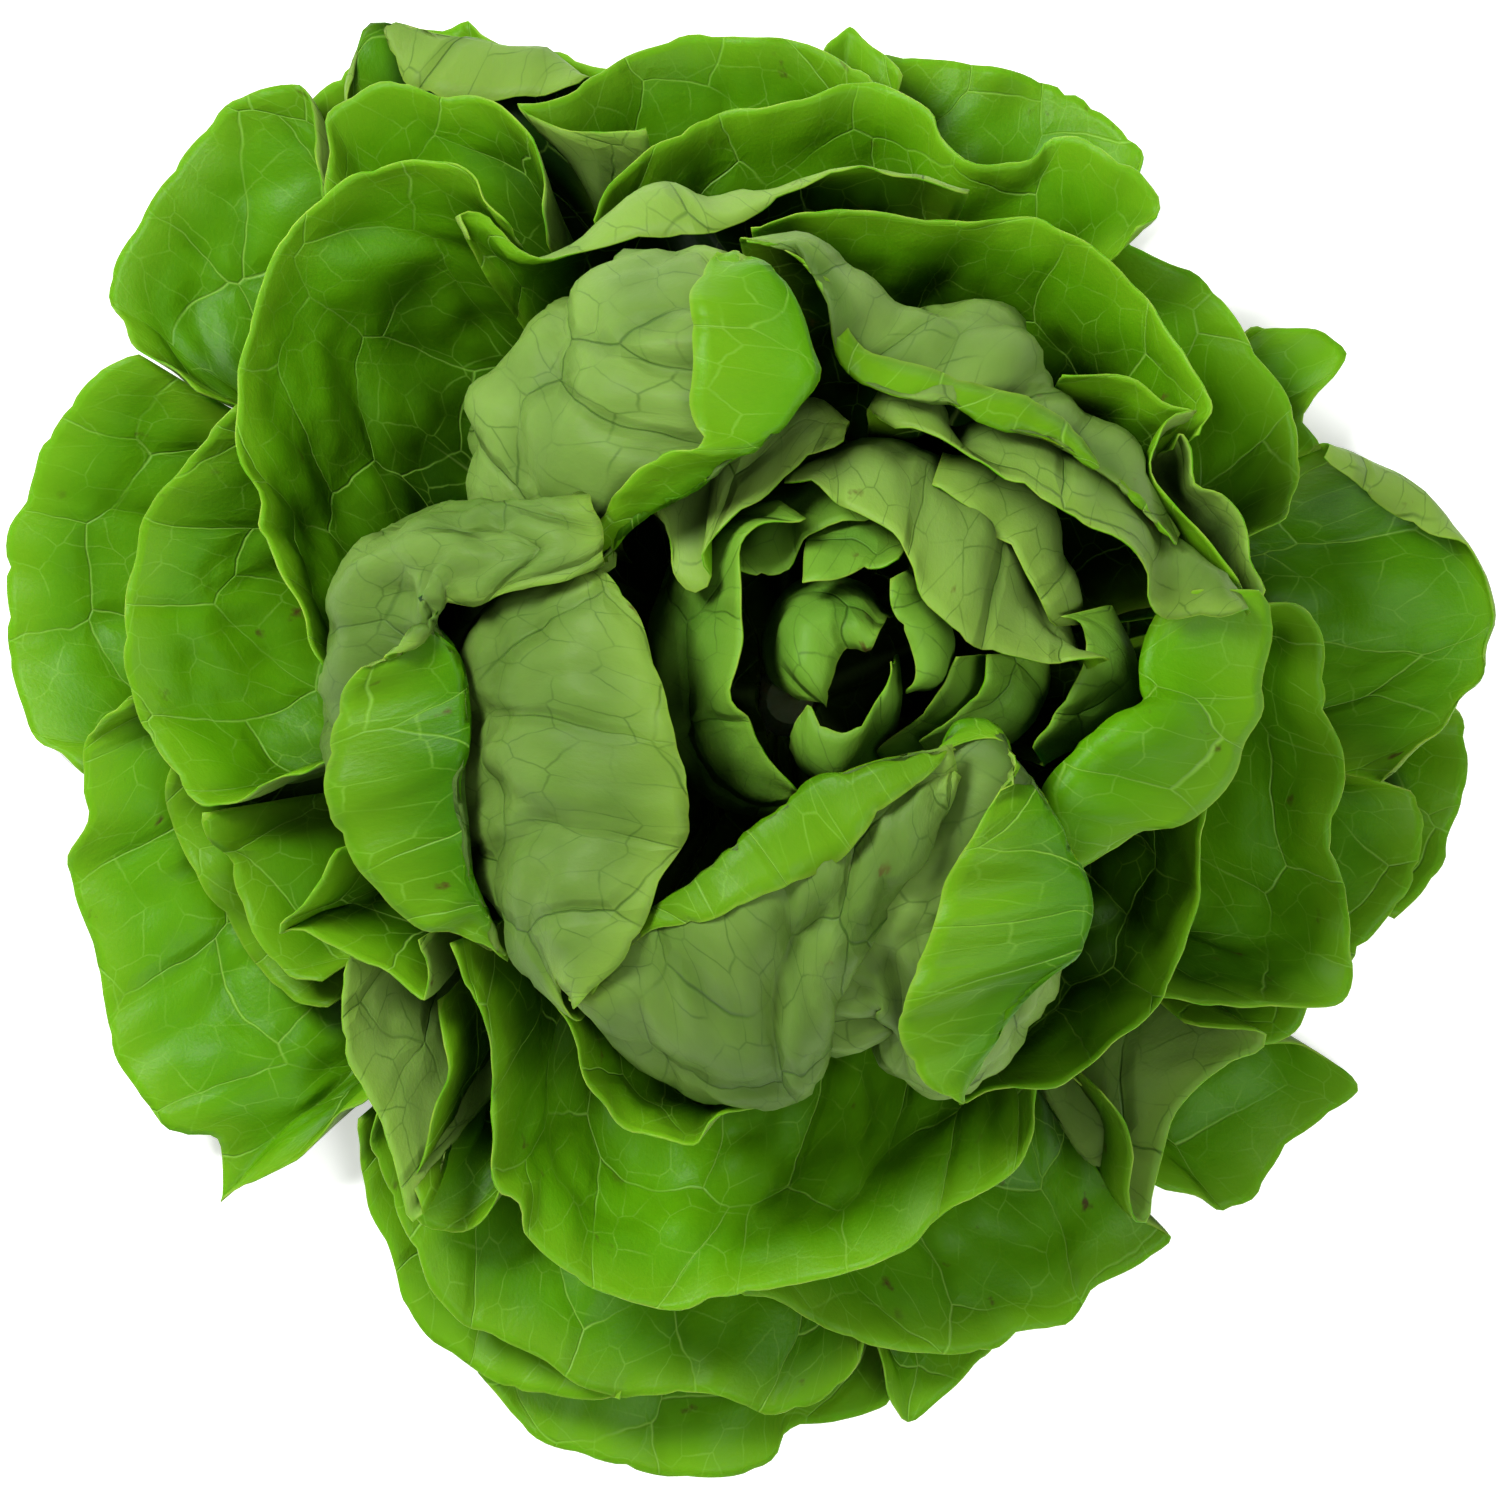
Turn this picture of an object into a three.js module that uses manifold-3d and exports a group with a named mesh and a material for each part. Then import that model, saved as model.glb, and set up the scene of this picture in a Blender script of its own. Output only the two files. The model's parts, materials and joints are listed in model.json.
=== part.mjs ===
// A butterhead lettuce, cut at the stem and standing on its butt, in millimetres, +Z up.
// The origin is the centre of the stem's cut face. Every leaf is a thin curved blade. It grows from a
// narrow neck at the stem, runs out through a belly and ends at its margin.
import * as THREE from "three";
import Module from "manifold-3d";

// Driving sizes of the head.
const HEAD_ACROSS = 285; // over the open outer leaves
const STEM_HEIGHT = 46;
const STEM_CUT_RADIUS = 15; // at the cut face
const STEM_TIP_RADIUS = 4;
const STEM_SIDES = 20;
const STEM_CHAMFER = 1; // round the cut face
const STEM_CROWN = 2; // height of the blunt cone at the stem's tip
const BLADE = 0.9; // thickness of a leaf's blade
const RIB_HEIGHT = 1.5; // what the midrib adds under the blade at the neck
const RIB_WIDTH = 0.16; // of the leaf's width
const RIB_FADE = 2; // how soon the midrib sinks into the blade
const NECK_WIDTH = 13; // a leaf's width where it leaves the stem
const NECK_GAP = 0.9; // air between a leaf's neck and the stem
const WIDEST_NECK = 1.2; // radians of the stem that a neck may clasp
const LOWEST_NECK = 7; // height of the outermost leaf's neck on the stem
const HIGHEST_NECK = 47;
const BELLY_REACH = 0.5; // where the belly lies between the stem and the leaf's first row
const BELLY_SPREAD = 0.85; // its width in bearing, of the first row's
const BELLY_RISE = 0.06; // how much of the leaf's climb is done there
const BELLY_HANG = 0.34; // how far the belly hangs below the neck, of the neck's height
const HANG_RADIUS = 45; // the distance from the stem's axis at which it hangs in full
const SHOULDER_REACH = 0.62; // where an open leaf's shoulder lies between belly and margin
const SHOULDER_DIP = 1; // how far that shoulder hangs below the straight way
const SHOULDER_BOWL = 0.16; // and more with the leaf's climb
const WAVE_HEIGHT = 1.6; // of the ripples along a margin
const WAVE_LENGTH = 34;
const WAVE_FADE = 6; // how closely the ripples keep to the margin
const WAVE_TURN = 9; // radians between the ripples of the outermost and of the innermost leaf

// How the leaves are bent clear of each other.
const BEND_ROUNDS = 10;
const CLEARANCE = 1.5; // between the middle surfaces of two blades
const CLEAR_REACH = 3.5; // how deep a crossing may be that is still pushed back
const CLEAR_ASIDE = 1; // a point further beside a leaf than this isn't over it
const PUSH_SHARE = 0.35; // of what is lacking, pushed in one round
const TRIM_GAP = 0.3; // air round a blade where its neighbour is cut back
const TRIM_SLACK = 0.08; // how far a cut edge may be straightened
const LEAST_CROSSING = 0.001; // mm3

// How finely the blades are faceted.
const FACET_ACROSS = 17; // along the margin
const FACET_ALONG = 17; // from neck to margin
const FEWEST_COLUMNS = 5;
const MOST_COLUMNS = 13;
const LEAST_STEP = 0.001; // between two points of a row

// The leaves are laid out on a plan seen from above, a square of PLAN_SIDE units with y downwards.
const PLAN_SIDE = 1500;
const PLAN_UNIT = HEAD_ACROSS / PLAN_SIDE;
const STEM_ON_PLAN = { x: 790, y: 700 };

// The greens of the leaves, by the first word of their names.
const GREENS = { back: 0x7dbb2e, outer: 0x4f8f1c, cup: 0x5d9a26, wrap: 0x8ab350, heart: 0x6f9f3c };
const STEM_WHITE = 0xe6ecc4;

// The leaves of the closed head, which climb without a shoulder.
const CLOSED = /^(wrap|heart)_/;

// The leaves from the outermost to the innermost. A leaf's rows are points [plan x, plan y, height in
// mm] across it, and run round the stem against the clock. The last row is its margin. The rows before
// it, where a leaf has them, are its hip, its dome and the crest that its margin is rolled over. A leaf
// that lies with its underside up is listed the other way round.
const LEAVES = [
  { name: "back_leaf_lower_right", rows: [
    [[1160, 1190, 11], [1195, 1200, 7], [1215, 1217, 3], [1245, 1210, 2], [1290, 1150, 1],
      [1355, 1100, 2], [1363, 1092, 4], [1330, 1055, 8], [1290, 1045, 11], [1255, 1050, 15]]] },
  { name: "back_leaf_far_left", rows: [
    [[135, 350, 14], [100, 365, 12], [60, 410, 8], [35, 450, 5], [22, 495, 3], [5, 525, 2], [2, 600, 1],
      [5, 660, 2], [15, 700, 4], [35, 745, 7], [60, 760, 9], [85, 780, 12]]] },
  { name: "back_leaf_top_right", rows: [
    [[1150, 170, 14], [1145, 150, 11], [1110, 115, 7], [1090, 98, 5], [1040, 75, 3], [1000, 62, 2],
      [960, 57, 1], [905, 52, 3], [880, 50, 6], [860, 62, 10]]] },
  { name: "back_leaf_bottom", rows: [
    [[470, 1370, 11], [495, 1400, 8], [530, 1440, 4], [600, 1465, 2], [690, 1483, 1], [770, 1465, 2],
      [782, 1440, 4], [840, 1425, 6], [895, 1405, 9], [905, 1385, 12]]] },
  { name: "back_leaf_far_right", rows: [
    [[1400, 915, 12], [1430, 890, 7], [1450, 860, 4], [1455, 830, 3], [1468, 800, 2], [1472, 750, 1],
      [1465, 710, 4], [1445, 690, 9]]] },
  { name: "back_leaf_top", rows: [
    [[640, 66, 14], [600, 62, 10], [560, 47, 6], [500, 38, 4], [485, 30, 3], [467, 15, 1], [450, 23, 2],
      [410, 28, 5], [385, 45, 10]]] },
  { name: "back_leaf_tip_lower", rows: [
    [[870, 1350, 18], [890, 1400, 13], [910, 1427, 10], [945, 1400, 11], [985, 1362, 14],
      [1010, 1345, 18]]] },
  { name: "back_leaf_upper_left", rows: [
    [[380, 45, 12], [345, 65, 9], [320, 85, 6], [303, 105, 4], [300, 135, 4], [303, 165, 6],
      [312, 205, 10]]] },
  { name: "outer_leaf_bottom_low", rows: [
    [[350, 1115, 22], [360, 1165, 17], [362, 1200, 14], [390, 1265, 10], [400, 1300, 9], [430, 1345, 8],
      [460, 1365, 8], [500, 1390, 10], [560, 1400, 13], [620, 1402, 18]]] },
  { name: "back_leaf_tip_top", rows: [
    [[905, 66, 18], [880, 45, 14], [865, 30, 12], [850, 22, 11], [840, 28, 12], [828, 48, 14],
      [818, 68, 17]]] },
  { name: "outer_leaf_lower_left", rows: [
    [[135, 690, 25], [100, 710, 20], [82, 740, 16], [80, 790, 12], [83, 820, 10], [62, 860, 7],
      [70, 895, 6], [90, 950, 5], [100, 1000, 6], [112, 1060, 7], [135, 1095, 8], [170, 1135, 8],
      [212, 1140, 8], [222, 1210, 3], [260, 1180, 8], [300, 1150, 14], [330, 1125, 18],
      [372, 1100, 25]]] },
  { name: "back_leaf_tip_right", rows: [
    [[1325, 445, 21], [1310, 422, 18], [1340, 370, 13], [1351, 352, 11], [1322, 327, 12], [1290, 325, 13],
      [1250, 325, 17], [1225, 342, 21]]] },
  { name: "outer_leaf_upper_left", rows: [
    [[322, 200, 26], [312, 150, 21], [310, 95, 16], [298, 80, 13], [270, 82, 11], [240, 90, 10],
      [190, 140, 8], [140, 210, 7], [105, 295, 8], [118, 322, 11], [130, 350, 15], [160, 367, 20],
      [195, 390, 25]]] },
  { name: "outer_leaf_right_low", rows: [
    [[1335, 985, 20], [1385, 930, 13], [1410, 900, 11], [1425, 850, 10], [1427, 820, 11], [1415, 790, 13],
      [1390, 780, 16], [1350, 765, 21]]] },
  { name: "outer_leaf_bottom", rows: [
    [[375, 1105, 30], [368, 1140, 28], [380, 1180, 26], [395, 1220, 24], [410, 1250, 23], [430, 1290, 22],
      [450, 1320, 21], [500, 1345, 20], [545, 1365, 19], [575, 1388, 18], [610, 1400, 17],
      [720, 1400, 17], [770, 1418, 16], [830, 1400, 17], [862, 1368, 19], [870, 1345, 22]]] },
  { name: "outer_leaf_top_folded", rows: [
    [[585, 78, 27], [550, 62, 22], [500, 50, 18], [470, 45, 16], [430, 30, 14], [390, 18, 12],
      [373, 18, 12], [358, 38, 12], [350, 68, 15], [340, 100, 19]],
    [[578, 82, 28], [540, 95, 26], [500, 98, 24], [440, 93, 21], [404, 80, 19], [390, 48, 16],
      [378, 22, 13], [362, 40, 13], [353, 70, 16], [343, 100, 20]]] },
  { name: "outer_leaf_far_right", rows: [
    [[1385, 785, 27], [1420, 750, 22], [1470, 700, 16], [1490, 680, 14], [1492, 650, 12], [1498, 620, 11],
      [1495, 590, 11], [1485, 562, 12], [1450, 525, 15], [1400, 487, 19], [1330, 450, 26]],
    [[1382, 783, 28], [1418, 748, 23], [1468, 700, 17], [1487, 678, 15], [1490, 650, 13], [1495, 620, 12],
      [1492, 590, 12], [1476, 552, 15], [1425, 527, 19], [1380, 502, 22], [1326, 458, 28]]] },
  { name: "outer_leaf_left_sliver", rows: [
    [[170, 755, 23], [162, 790, 21], [165, 812, 19], [180, 850, 17], [200, 890, 16], [225, 920, 15],
      [245, 955, 14], [270, 985, 14], [292, 1003, 16], [325, 1010, 20]]] },
  { name: "outer_leaf_top_back", rows: [
    [[880, 88, 35], [870, 75, 33], [830, 52, 28], [800, 36, 24], [740, 33, 22], [690, 30, 21],
      [650, 40, 22], [620, 52, 24], [580, 75, 27], [540, 95, 30], [514, 98, 32], [540, 118, 35],
      [600, 133, 38], [645, 128, 41]]] },
  { name: "outer_leaf_lower_right", rows: [
    [[735, 1297, 34], [780, 1305, 30], [830, 1335, 26], [870, 1352, 23], [950, 1358, 20], [990, 1355, 18],
      [1030, 1335, 16], [1060, 1333, 15], [1100, 1290, 13], [1150, 1262, 11], [1175, 1240, 10],
      [1150, 1222, 13], [1142, 1180, 16], [1138, 1140, 20], [1110, 1105, 24], [1090, 1080, 27]]] },
  { name: "outer_leaf_upper_right", rows: [
    [[1245, 545, 42], [1290, 520, 38], [1298, 500, 35], [1300, 450, 31], [1295, 410, 29], [1280, 380, 28],
      [1260, 350, 27], [1240, 315, 26], [1200, 275, 26], [1150, 250, 27], [1100, 210, 27],
      [1085, 192, 26], [1060, 205, 29], [1040, 225, 34]]] },
  { name: "outer_leaf_left_flat", rows: [
    [[192, 812, 30], [205, 840, 28], [225, 857, 26], [235, 890, 25], [250, 935, 24], [270, 965, 23],
      [285, 978, 24], [320, 985, 28]]] },
  { name: "outer_leaf_small_right", rows: [
    [[1150, 1045, 34], [1200, 1045, 29], [1265, 1048, 24], [1300, 1030, 22], [1312, 1010, 23],
      [1318, 990, 26]]] },
  { name: "outer_leaf_top_left", rows: [
    [[548, 240, 47], [548, 200, 44], [540, 160, 41], [515, 118, 37], [497, 97, 34], [480, 92, 32],
      [440, 93, 30], [385, 78, 28], [350, 92, 26], [325, 112, 26], [322, 145, 28], [322, 195, 33]]] },
  { name: "outer_leaf_grey_fold", rows: [
    [[1190, 1028, 39], [1262, 1048, 32], [1235, 1065, 32], [1205, 1090, 32], [1175, 1130, 31],
      [1160, 1170, 30], [1146, 1222, 28], [1133, 1190, 33], [1125, 1130, 38], [1105, 1092, 42]]] },
  { name: "outer_leaf_left", rows: [
    [[235, 405, 46], [205, 430, 41], [180, 465, 37], [155, 495, 34], [140, 520, 32], [133, 550, 30],
      [122, 600, 28], [120, 640, 27], [122, 670, 27], [130, 700, 27], [150, 745, 28], [170, 775, 29],
      [200, 808, 31], [235, 800, 35], [270, 785, 40], [330, 760, 48]]] },
  { name: "outer_leaf_top", rows: [
    [[1140, 225, 50], [1156, 212, 47], [1158, 195, 46], [1145, 175, 45], [1120, 155, 44], [1100, 140, 43],
      [1080, 133, 43], [1055, 138, 43], [1040, 152, 43], [1000, 160, 43], [965, 155, 43], [950, 140, 42],
      [935, 110, 40], [910, 90, 39], [880, 82, 38], [850, 83, 38], [800, 95, 38], [740, 105, 38],
      [680, 130, 40], [640, 155, 43], [610, 180, 46], [590, 218, 50]]] },
  { name: "outer_leaf_bottom_small", rows: [
    [[430, 1095, 38], [418, 1180, 34], [417, 1221, 32], [430, 1232, 31], [455, 1235, 31], [480, 1228, 32],
      [500, 1202, 35], [508, 1165, 38]]] },
  { name: "outer_leaf_right", rows: [
    [[1155, 1000, 50], [1200, 1005, 46], [1250, 1010, 42], [1320, 1010, 37], [1345, 1003, 34],
      [1355, 935, 32], [1350, 900, 32], [1336, 850, 33], [1333, 830, 33], [1342, 800, 34],
      [1348, 760, 34], [1340, 730, 35], [1330, 690, 36], [1325, 650, 38], [1315, 615, 41],
      [1290, 597, 44], [1255, 602, 49]]] },
  { name: "outer_leaf_pale_strip", rows: [
    [[432, 1003, 46], [440, 1040, 45], [443, 1075, 44], [430, 1110, 43], [425, 1150, 43], [416, 1185, 43],
      [417, 1222, 42], [400, 1185, 42], [380, 1140, 42], [360, 1090, 42], [345, 1040, 42],
      [343, 1000, 43], [352, 955, 46]]] },
  { name: "outer_leaf_left_lobe", rows: [
    [[335, 850, 58], [305, 895, 53], [275, 922, 49], [275, 938, 48], [300, 935, 49], [340, 950, 50],
      [380, 965, 51], [427, 1003, 52], [432, 980, 55], [420, 940, 60]]] },
  { name: "cup_leaf_upper_left", rows: [
    [[505, 240, 76], [478, 205, 72], [470, 178, 69], [430, 163, 66], [400, 162, 65], [350, 172, 63],
      [310, 210, 61], [270, 260, 60], [245, 330, 59], [236, 400, 59], [240, 460, 60], [255, 505, 61],
      [252, 530, 61], [270, 560, 62], [290, 595, 63], [310, 635, 65], [335, 672, 68]]] },
  { name: "cup_leaf_bottom", rows: [
    [[445, 945, 74], [462, 985, 69], [480, 1020, 65], [490, 1055, 61], [492, 1090, 57], [487, 1140, 53],
      [490, 1180, 50], [500, 1197, 49], [515, 1205, 48], [525, 1235, 46], [545, 1260, 44],
      [590, 1290, 43], [640, 1308, 42], [690, 1310, 42], [720, 1297, 43], [740, 1297, 43],
      [800, 1290, 43], [860, 1272, 44], [910, 1250, 45], [945, 1215, 47], [990, 1195, 49],
      [1020, 1165, 51], [1035, 1130, 54], [1040, 1085, 58]]] },
  { name: "cup_leaf_top", rows: [
    [[970, 188, 56], [900, 172, 56], [860, 167, 57], [820, 172, 59], [775, 187, 61], [740, 196, 63],
      [712, 206, 64], [690, 198, 64], [640, 200, 64], [602, 220, 65], [580, 240, 66], [555, 243, 67],
      [530, 235, 67], [508, 214, 68], [485, 205, 68], [462, 206, 69], [466, 240, 72]],
    [[968, 192, 58], [900, 175, 58], [860, 171, 59], [822, 177, 62], [782, 194, 66], [755, 216, 69],
      [722, 233, 70], [690, 236, 70], [650, 239, 70], [610, 242, 70], [583, 246, 69], [555, 248, 69],
      [530, 240, 69], [508, 219, 70], [487, 210, 70], [467, 211, 71], [470, 240, 74]]] },
  { name: "cup_leaf_top_right", rows: [
    [[1205, 440, 76], [1211, 402, 70], [1200, 385, 68], [1180, 350, 66], [1160, 315, 64], [1140, 285, 62],
      [1110, 255, 61], [1080, 240, 60], [1040, 220, 60], [990, 215, 61], [940, 220, 63], [870, 213, 66],
      [800, 213, 69], [750, 226, 73]]] },
  { name: "wrap_leaf_left", rows: [
    [[600, 508, 100], [540, 522, 96], [470, 530, 90], [400, 550, 83], [370, 580, 78], [350, 640, 72],
      [350, 700, 66], [362, 780, 62], [390, 850, 62], [430, 900, 64], [490, 945, 68]],
    [[605, 540, 103], [550, 550, 102], [500, 562, 98], [450, 575, 93], [440, 610, 89], [465, 660, 87],
      [475, 720, 86], [470, 790, 85], [474, 840, 84], [487, 890, 80], [506, 950, 74]],
    [[605, 567, 103], [570, 582, 102], [520, 590, 99], [480, 606, 95], [440, 604, 91], [417, 646, 87],
      [360, 668, 84], [330, 740, 80], [325, 800, 79], [365, 875, 78], [430, 935, 76], [470, 937, 76],
      [508, 962, 74]]] },
  { name: "cup_leaf_right_strip", rows: [
    [[1150, 455, 76], [1165, 440, 76], [1190, 460, 73], [1195, 485, 72], [1220, 495, 70], [1245, 530, 69],
      [1245, 560, 70], [1257, 595, 72], [1240, 600, 75]]] },
  { name: "cup_leaf_right_star", rows: [
    [[1240, 592, 80], [1200, 541, 80], [1170, 500, 80], [1160, 468, 80], [1167, 440, 79], [1190, 407, 75],
      [1208, 402, 73], [1165, 396, 75], [1130, 381, 77], [1062, 371, 80]]] },
  { name: "cup_leaf_lower_right", rows: [
    [[960, 1108, 68], [1000, 1090, 65], [1060, 1085, 63], [1100, 1060, 62], [1135, 1035, 62],
      [1160, 1000, 62], [1180, 960, 63], [1190, 930, 64], [1200, 890, 65], [1205, 850, 67],
      [1208, 812, 70], [1200, 775, 73]]] },
  { name: "cup_leaf_front", rows: [
    [[560, 990, 86], [572, 1025, 82], [578, 1060, 78], [590, 1085, 76], [605, 1110, 74], [625, 1130, 72],
      [660, 1140, 71], [700, 1147, 70], [713, 1128, 70], [750, 1110, 69], [790, 1098, 69],
      [832, 1060, 72]]] },
  { name: "cup_leaf_right_rolled", rows: [
    [[1070, 866, 74], [1085, 830, 72], [1100, 800, 72], [1130, 770, 72], [1160, 740, 72], [1180, 700, 72],
      [1190, 660, 72], [1200, 620, 76]],
    [[1068, 867, 82], [1057, 832, 86], [1056, 800, 89], [1078, 762, 91], [1105, 732, 91], [1150, 700, 88],
      [1142, 662, 83], [1150, 634, 82], [1168, 614, 84]],
    [[1074, 870, 84], [1110, 850, 82], [1140, 829, 81], [1170, 828, 80], [1215, 800, 78], [1232, 775, 77],
      [1247, 735, 76], [1263, 705, 76], [1262, 680, 77], [1266, 625, 79], [1250, 611, 82]]] },
  { name: "wrap_leaf_top_right", rows: [
    [[1172, 540, 74], [1120, 460, 75], [1060, 410, 76], [1022, 385, 77], [1012, 352, 77], [960, 335, 77],
      [885, 325, 77], [850, 290, 78], [800, 256, 79], [740, 243, 79]],
    [[1167, 550, 84], [1130, 508, 87], [1090, 470, 89], [1050, 443, 91], [1000, 427, 92], [950, 403, 92],
      [895, 398, 92], [860, 382, 91], [835, 352, 90], [822, 295, 88], [800, 262, 85], [745, 246, 82]],
    [[1169, 546, 85], [1140, 496, 87], [1102, 465, 88], [1080, 430, 88], [1040, 402, 88], [1000, 390, 89],
      [950, 374, 89], [900, 358, 89], [868, 352, 89], [842, 312, 89], [829, 280, 87], [800, 258, 85],
      [748, 245, 83]]] },
  { name: "wrap_leaf_upper", rows: [
    [[720, 262, 78], [690, 255, 77], [650, 262, 76], [610, 288, 76], [565, 325, 76], [520, 365, 75],
      [483, 420, 74], [488, 480, 73], [458, 530, 71]],
    [[740, 300, 96], [690, 320, 96], [640, 360, 96], [600, 410, 95], [565, 455, 92], [545, 500, 88],
      [510, 545, 80]],
    [[735, 250, 92], [765, 265, 98], [800, 330, 104], [809, 372, 106], [785, 428, 106], [740, 465, 105],
      [700, 490, 103], [650, 510, 100], [615, 545, 94], [602, 570, 86]],
    [[712, 252, 91], [690, 290, 101], [692, 330, 106], [694, 362, 108], [690, 402, 109], [700, 447, 109],
      [655, 462, 107], [620, 492, 103], [598, 522, 97], [594, 560, 88]]] },
  { name: "wrap_leaf_centre_left", rows: [
    [[560, 585, 84], [495, 605, 78], [468, 655, 75], [482, 720, 74], [480, 780, 74], [488, 850, 74],
      [505, 900, 75], [535, 960, 79], [568, 1020, 84]],
    [[590, 575, 98], [555, 625, 98], [555, 680, 98], [560, 740, 98], [565, 800, 98], [565, 860, 97],
      [562, 920, 94], [560, 975, 90]],
    [[604, 568, 100], [640, 615, 104], [655, 662, 106], [672, 720, 107], [690, 790, 107], [692, 830, 106],
      [660, 877, 103], [615, 922, 99], [570, 990, 92]]] },
  { name: "wrap_leaf_right", rows: [
    [[1255, 600, 80], [1235, 588, 80], [1190, 557, 80], [1150, 530, 81], [1105, 482, 82], [1060, 460, 83],
      [1000, 447, 84], [950, 437, 84], [925, 413, 83], [895, 403, 82], [870, 416, 81]],
    [[1250, 608, 85], [1200, 612, 89], [1155, 603, 93], [1146, 585, 94], [1138, 558, 96], [1100, 535, 97],
      [1050, 508, 98], [1020, 492, 97], [975, 466, 95], [935, 438, 92], [900, 430, 89],
      [872, 419, 85]]] },
  { name: "wrap_leaf_lower_left", rows: [
    [[572, 1000, 90], [620, 1016, 86], [688, 1033, 84], [742, 1030, 86], [775, 985, 92], [800, 930, 98],
      [850, 870, 102], [900, 810, 105], [945, 755, 106]],
    [[580, 990, 95], [640, 965, 98], [700, 945, 101], [750, 915, 104], [800, 875, 106], [850, 830, 108],
      [900, 785, 109], [948, 750, 108]],
    [[570, 996, 94], [610, 958, 98], [645, 922, 101], [700, 870, 104], [740, 835, 107], [800, 785, 110],
      [870, 755, 112], [950, 742, 110]],
    [[578, 998, 96], [612, 966, 101], [646, 938, 104], [700, 925, 107], [750, 896, 110], [800, 880, 111],
      [850, 850, 113], [880, 810, 114], [920, 780, 114], [952, 747, 111]]] },
  { name: "heart_leaf_right_dark", rows: [
    [[1040, 760, 70], [1090, 725, 72], [1114, 695, 74], [1115, 660, 75], [1095, 610, 75]],
    [[1030, 745, 78], [1050, 715, 80], [1060, 685, 81], [1055, 655, 81], [1040, 625, 80]]] },
  { name: "wrap_leaf_lower_right", rows: [
    [[745, 1010, 80], [785, 1064, 76], [850, 1046, 77], [893, 1010, 80], [905, 1050, 76], [940, 1085, 74],
      [980, 1060, 74], [1040, 985, 76], [1072, 930, 78]],
    [[770, 955, 92], [820, 960, 94], [865, 940, 96], [910, 925, 98], [950, 930, 98], [990, 920, 98],
      [1030, 880, 98]],
    [[800, 890, 94], [860, 835, 98], [905, 785, 102], [950, 748, 104], [1005, 738, 105], [1038, 775, 105],
      [1058, 830, 105], [1081, 900, 103], [1066, 958, 99], [1000, 1030, 93], [966, 1088, 88]],
    [[815, 900, 97], [870, 848, 101], [912, 795, 104], [955, 755, 106], [1000, 745, 107],
      [1016, 756, 108], [985, 815, 110], [948, 875, 110], [925, 950, 107], [899, 1030, 102],
      [925, 1082, 96], [962, 1104, 90]]] },
  { name: "heart_leaf_upper_right_back", rows: [
    [[1065, 640, 77], [1045, 570, 78], [1025, 520, 78], [985, 498, 78], [930, 480, 77]],
    [[1040, 640, 82], [1010, 600, 84], [985, 560, 84], [950, 530, 83], [920, 505, 81]]] },
  { name: "heart_leaf_top_fold", rows: [
    [[845, 430, 82], [815, 412, 82], [770, 425, 82], [720, 455, 83], [680, 490, 83], [652, 512, 83]],
    [[840, 440, 86], [800, 468, 91], [780, 488, 93], [740, 520, 95], [712, 542, 96], [702, 560, 96],
      [708, 582, 95], [690, 592, 94], [675, 580, 92], [663, 548, 89], [655, 515, 86]]] },
  { name: "heart_leaf_left_outer", rows: [
    [[790, 545, 76], [735, 558, 72], [690, 595, 70], [668, 650, 69], [672, 700, 69], [690, 750, 70],
      [730, 800, 72], [790, 815, 74]],
    [[812, 535, 92], [790, 547, 94], [770, 570, 96], [750, 612, 97], [740, 660, 97], [738, 690, 96],
      [751, 712, 95], [756, 735, 94], [770, 762, 92], [798, 788, 89]]] },
  { name: "heart_leaf_cap", rows: [
    [[1110, 655, 83], [1060, 603, 86], [1030, 580, 87], [1000, 545, 88], [985, 512, 88], [950, 478, 87],
      [925, 462, 86], [880, 460, 86], [830, 466, 85], [792, 480, 84]],
    [[1113, 663, 86], [1080, 664, 90], [1040, 662, 93], [1000, 655, 96], [965, 645, 98], [935, 620, 99],
      [915, 590, 100], [908, 560, 100], [898, 540, 99], [880, 527, 98], [850, 515, 96], [820, 495, 92],
      [785, 487, 87]]] },
  { name: "heart_leaf_low_right_1", rows: [
    [[925, 745, 74], [975, 735, 72], [1010, 725, 72], [1038, 690, 73], [1042, 655, 75]],
    [[915, 735, 82], [945, 715, 85], [975, 690, 86], [985, 655, 86]]] },
  { name: "heart_leaf_top_inner", rows: [
    [[875, 500, 80], [830, 488, 80], [780, 490, 80], [730, 515, 80], [700, 540, 80]],
    [[870, 525, 84], [820, 538, 87], [780, 543, 88], [740, 548, 88], [702, 556, 87]]] },
  { name: "heart_leaf_low_right_2", rows: [
    [[880, 760, 76], [925, 752, 74], [975, 725, 74], [985, 690, 76], [985, 655, 78]],
    [[870, 745, 84], [900, 725, 86], [926, 702, 88], [958, 660, 88]]] },
  { name: "heart_leaf_top_ring", rows: [
    [[905, 548, 86], [870, 530, 85], [830, 527, 84], [806, 538, 84]],
    [[898, 562, 92], [855, 578, 94], [803, 588, 94]]] },
  { name: "heart_leaf_right_curl", rows: [
    [[905, 685, 82], [930, 682, 82], [942, 640, 82], [925, 600, 82], [905, 572, 84]],
    [[908, 686, 88], [929, 675, 91], [931, 642, 93], [912, 608, 93], [899, 575, 91]],
    [[900, 690, 89], [912, 672, 93], [908, 645, 95], [893, 615, 95], [889, 580, 93]]] },
  { name: "heart_leaf_bottom_curl", rows: [
    [[795, 740, 78], [815, 775, 77], [845, 790, 77], [880, 755, 78], [892, 700, 80], [893, 658, 84]],
    [[798, 722, 86], [806, 756, 88], [838, 772, 89], [868, 748, 90], [886, 705, 91], [891, 664, 89]],
    [[806, 704, 89], [822, 722, 92], [846, 732, 94], [864, 716, 95], [874, 694, 95], [884, 662, 93]]] },
  { name: "heart_leaf_innermost", rows: [
    [[886, 622, 80], [862, 596, 79], [826, 590, 79], [795, 602, 79], [780, 640, 79], [784, 676, 80],
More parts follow.
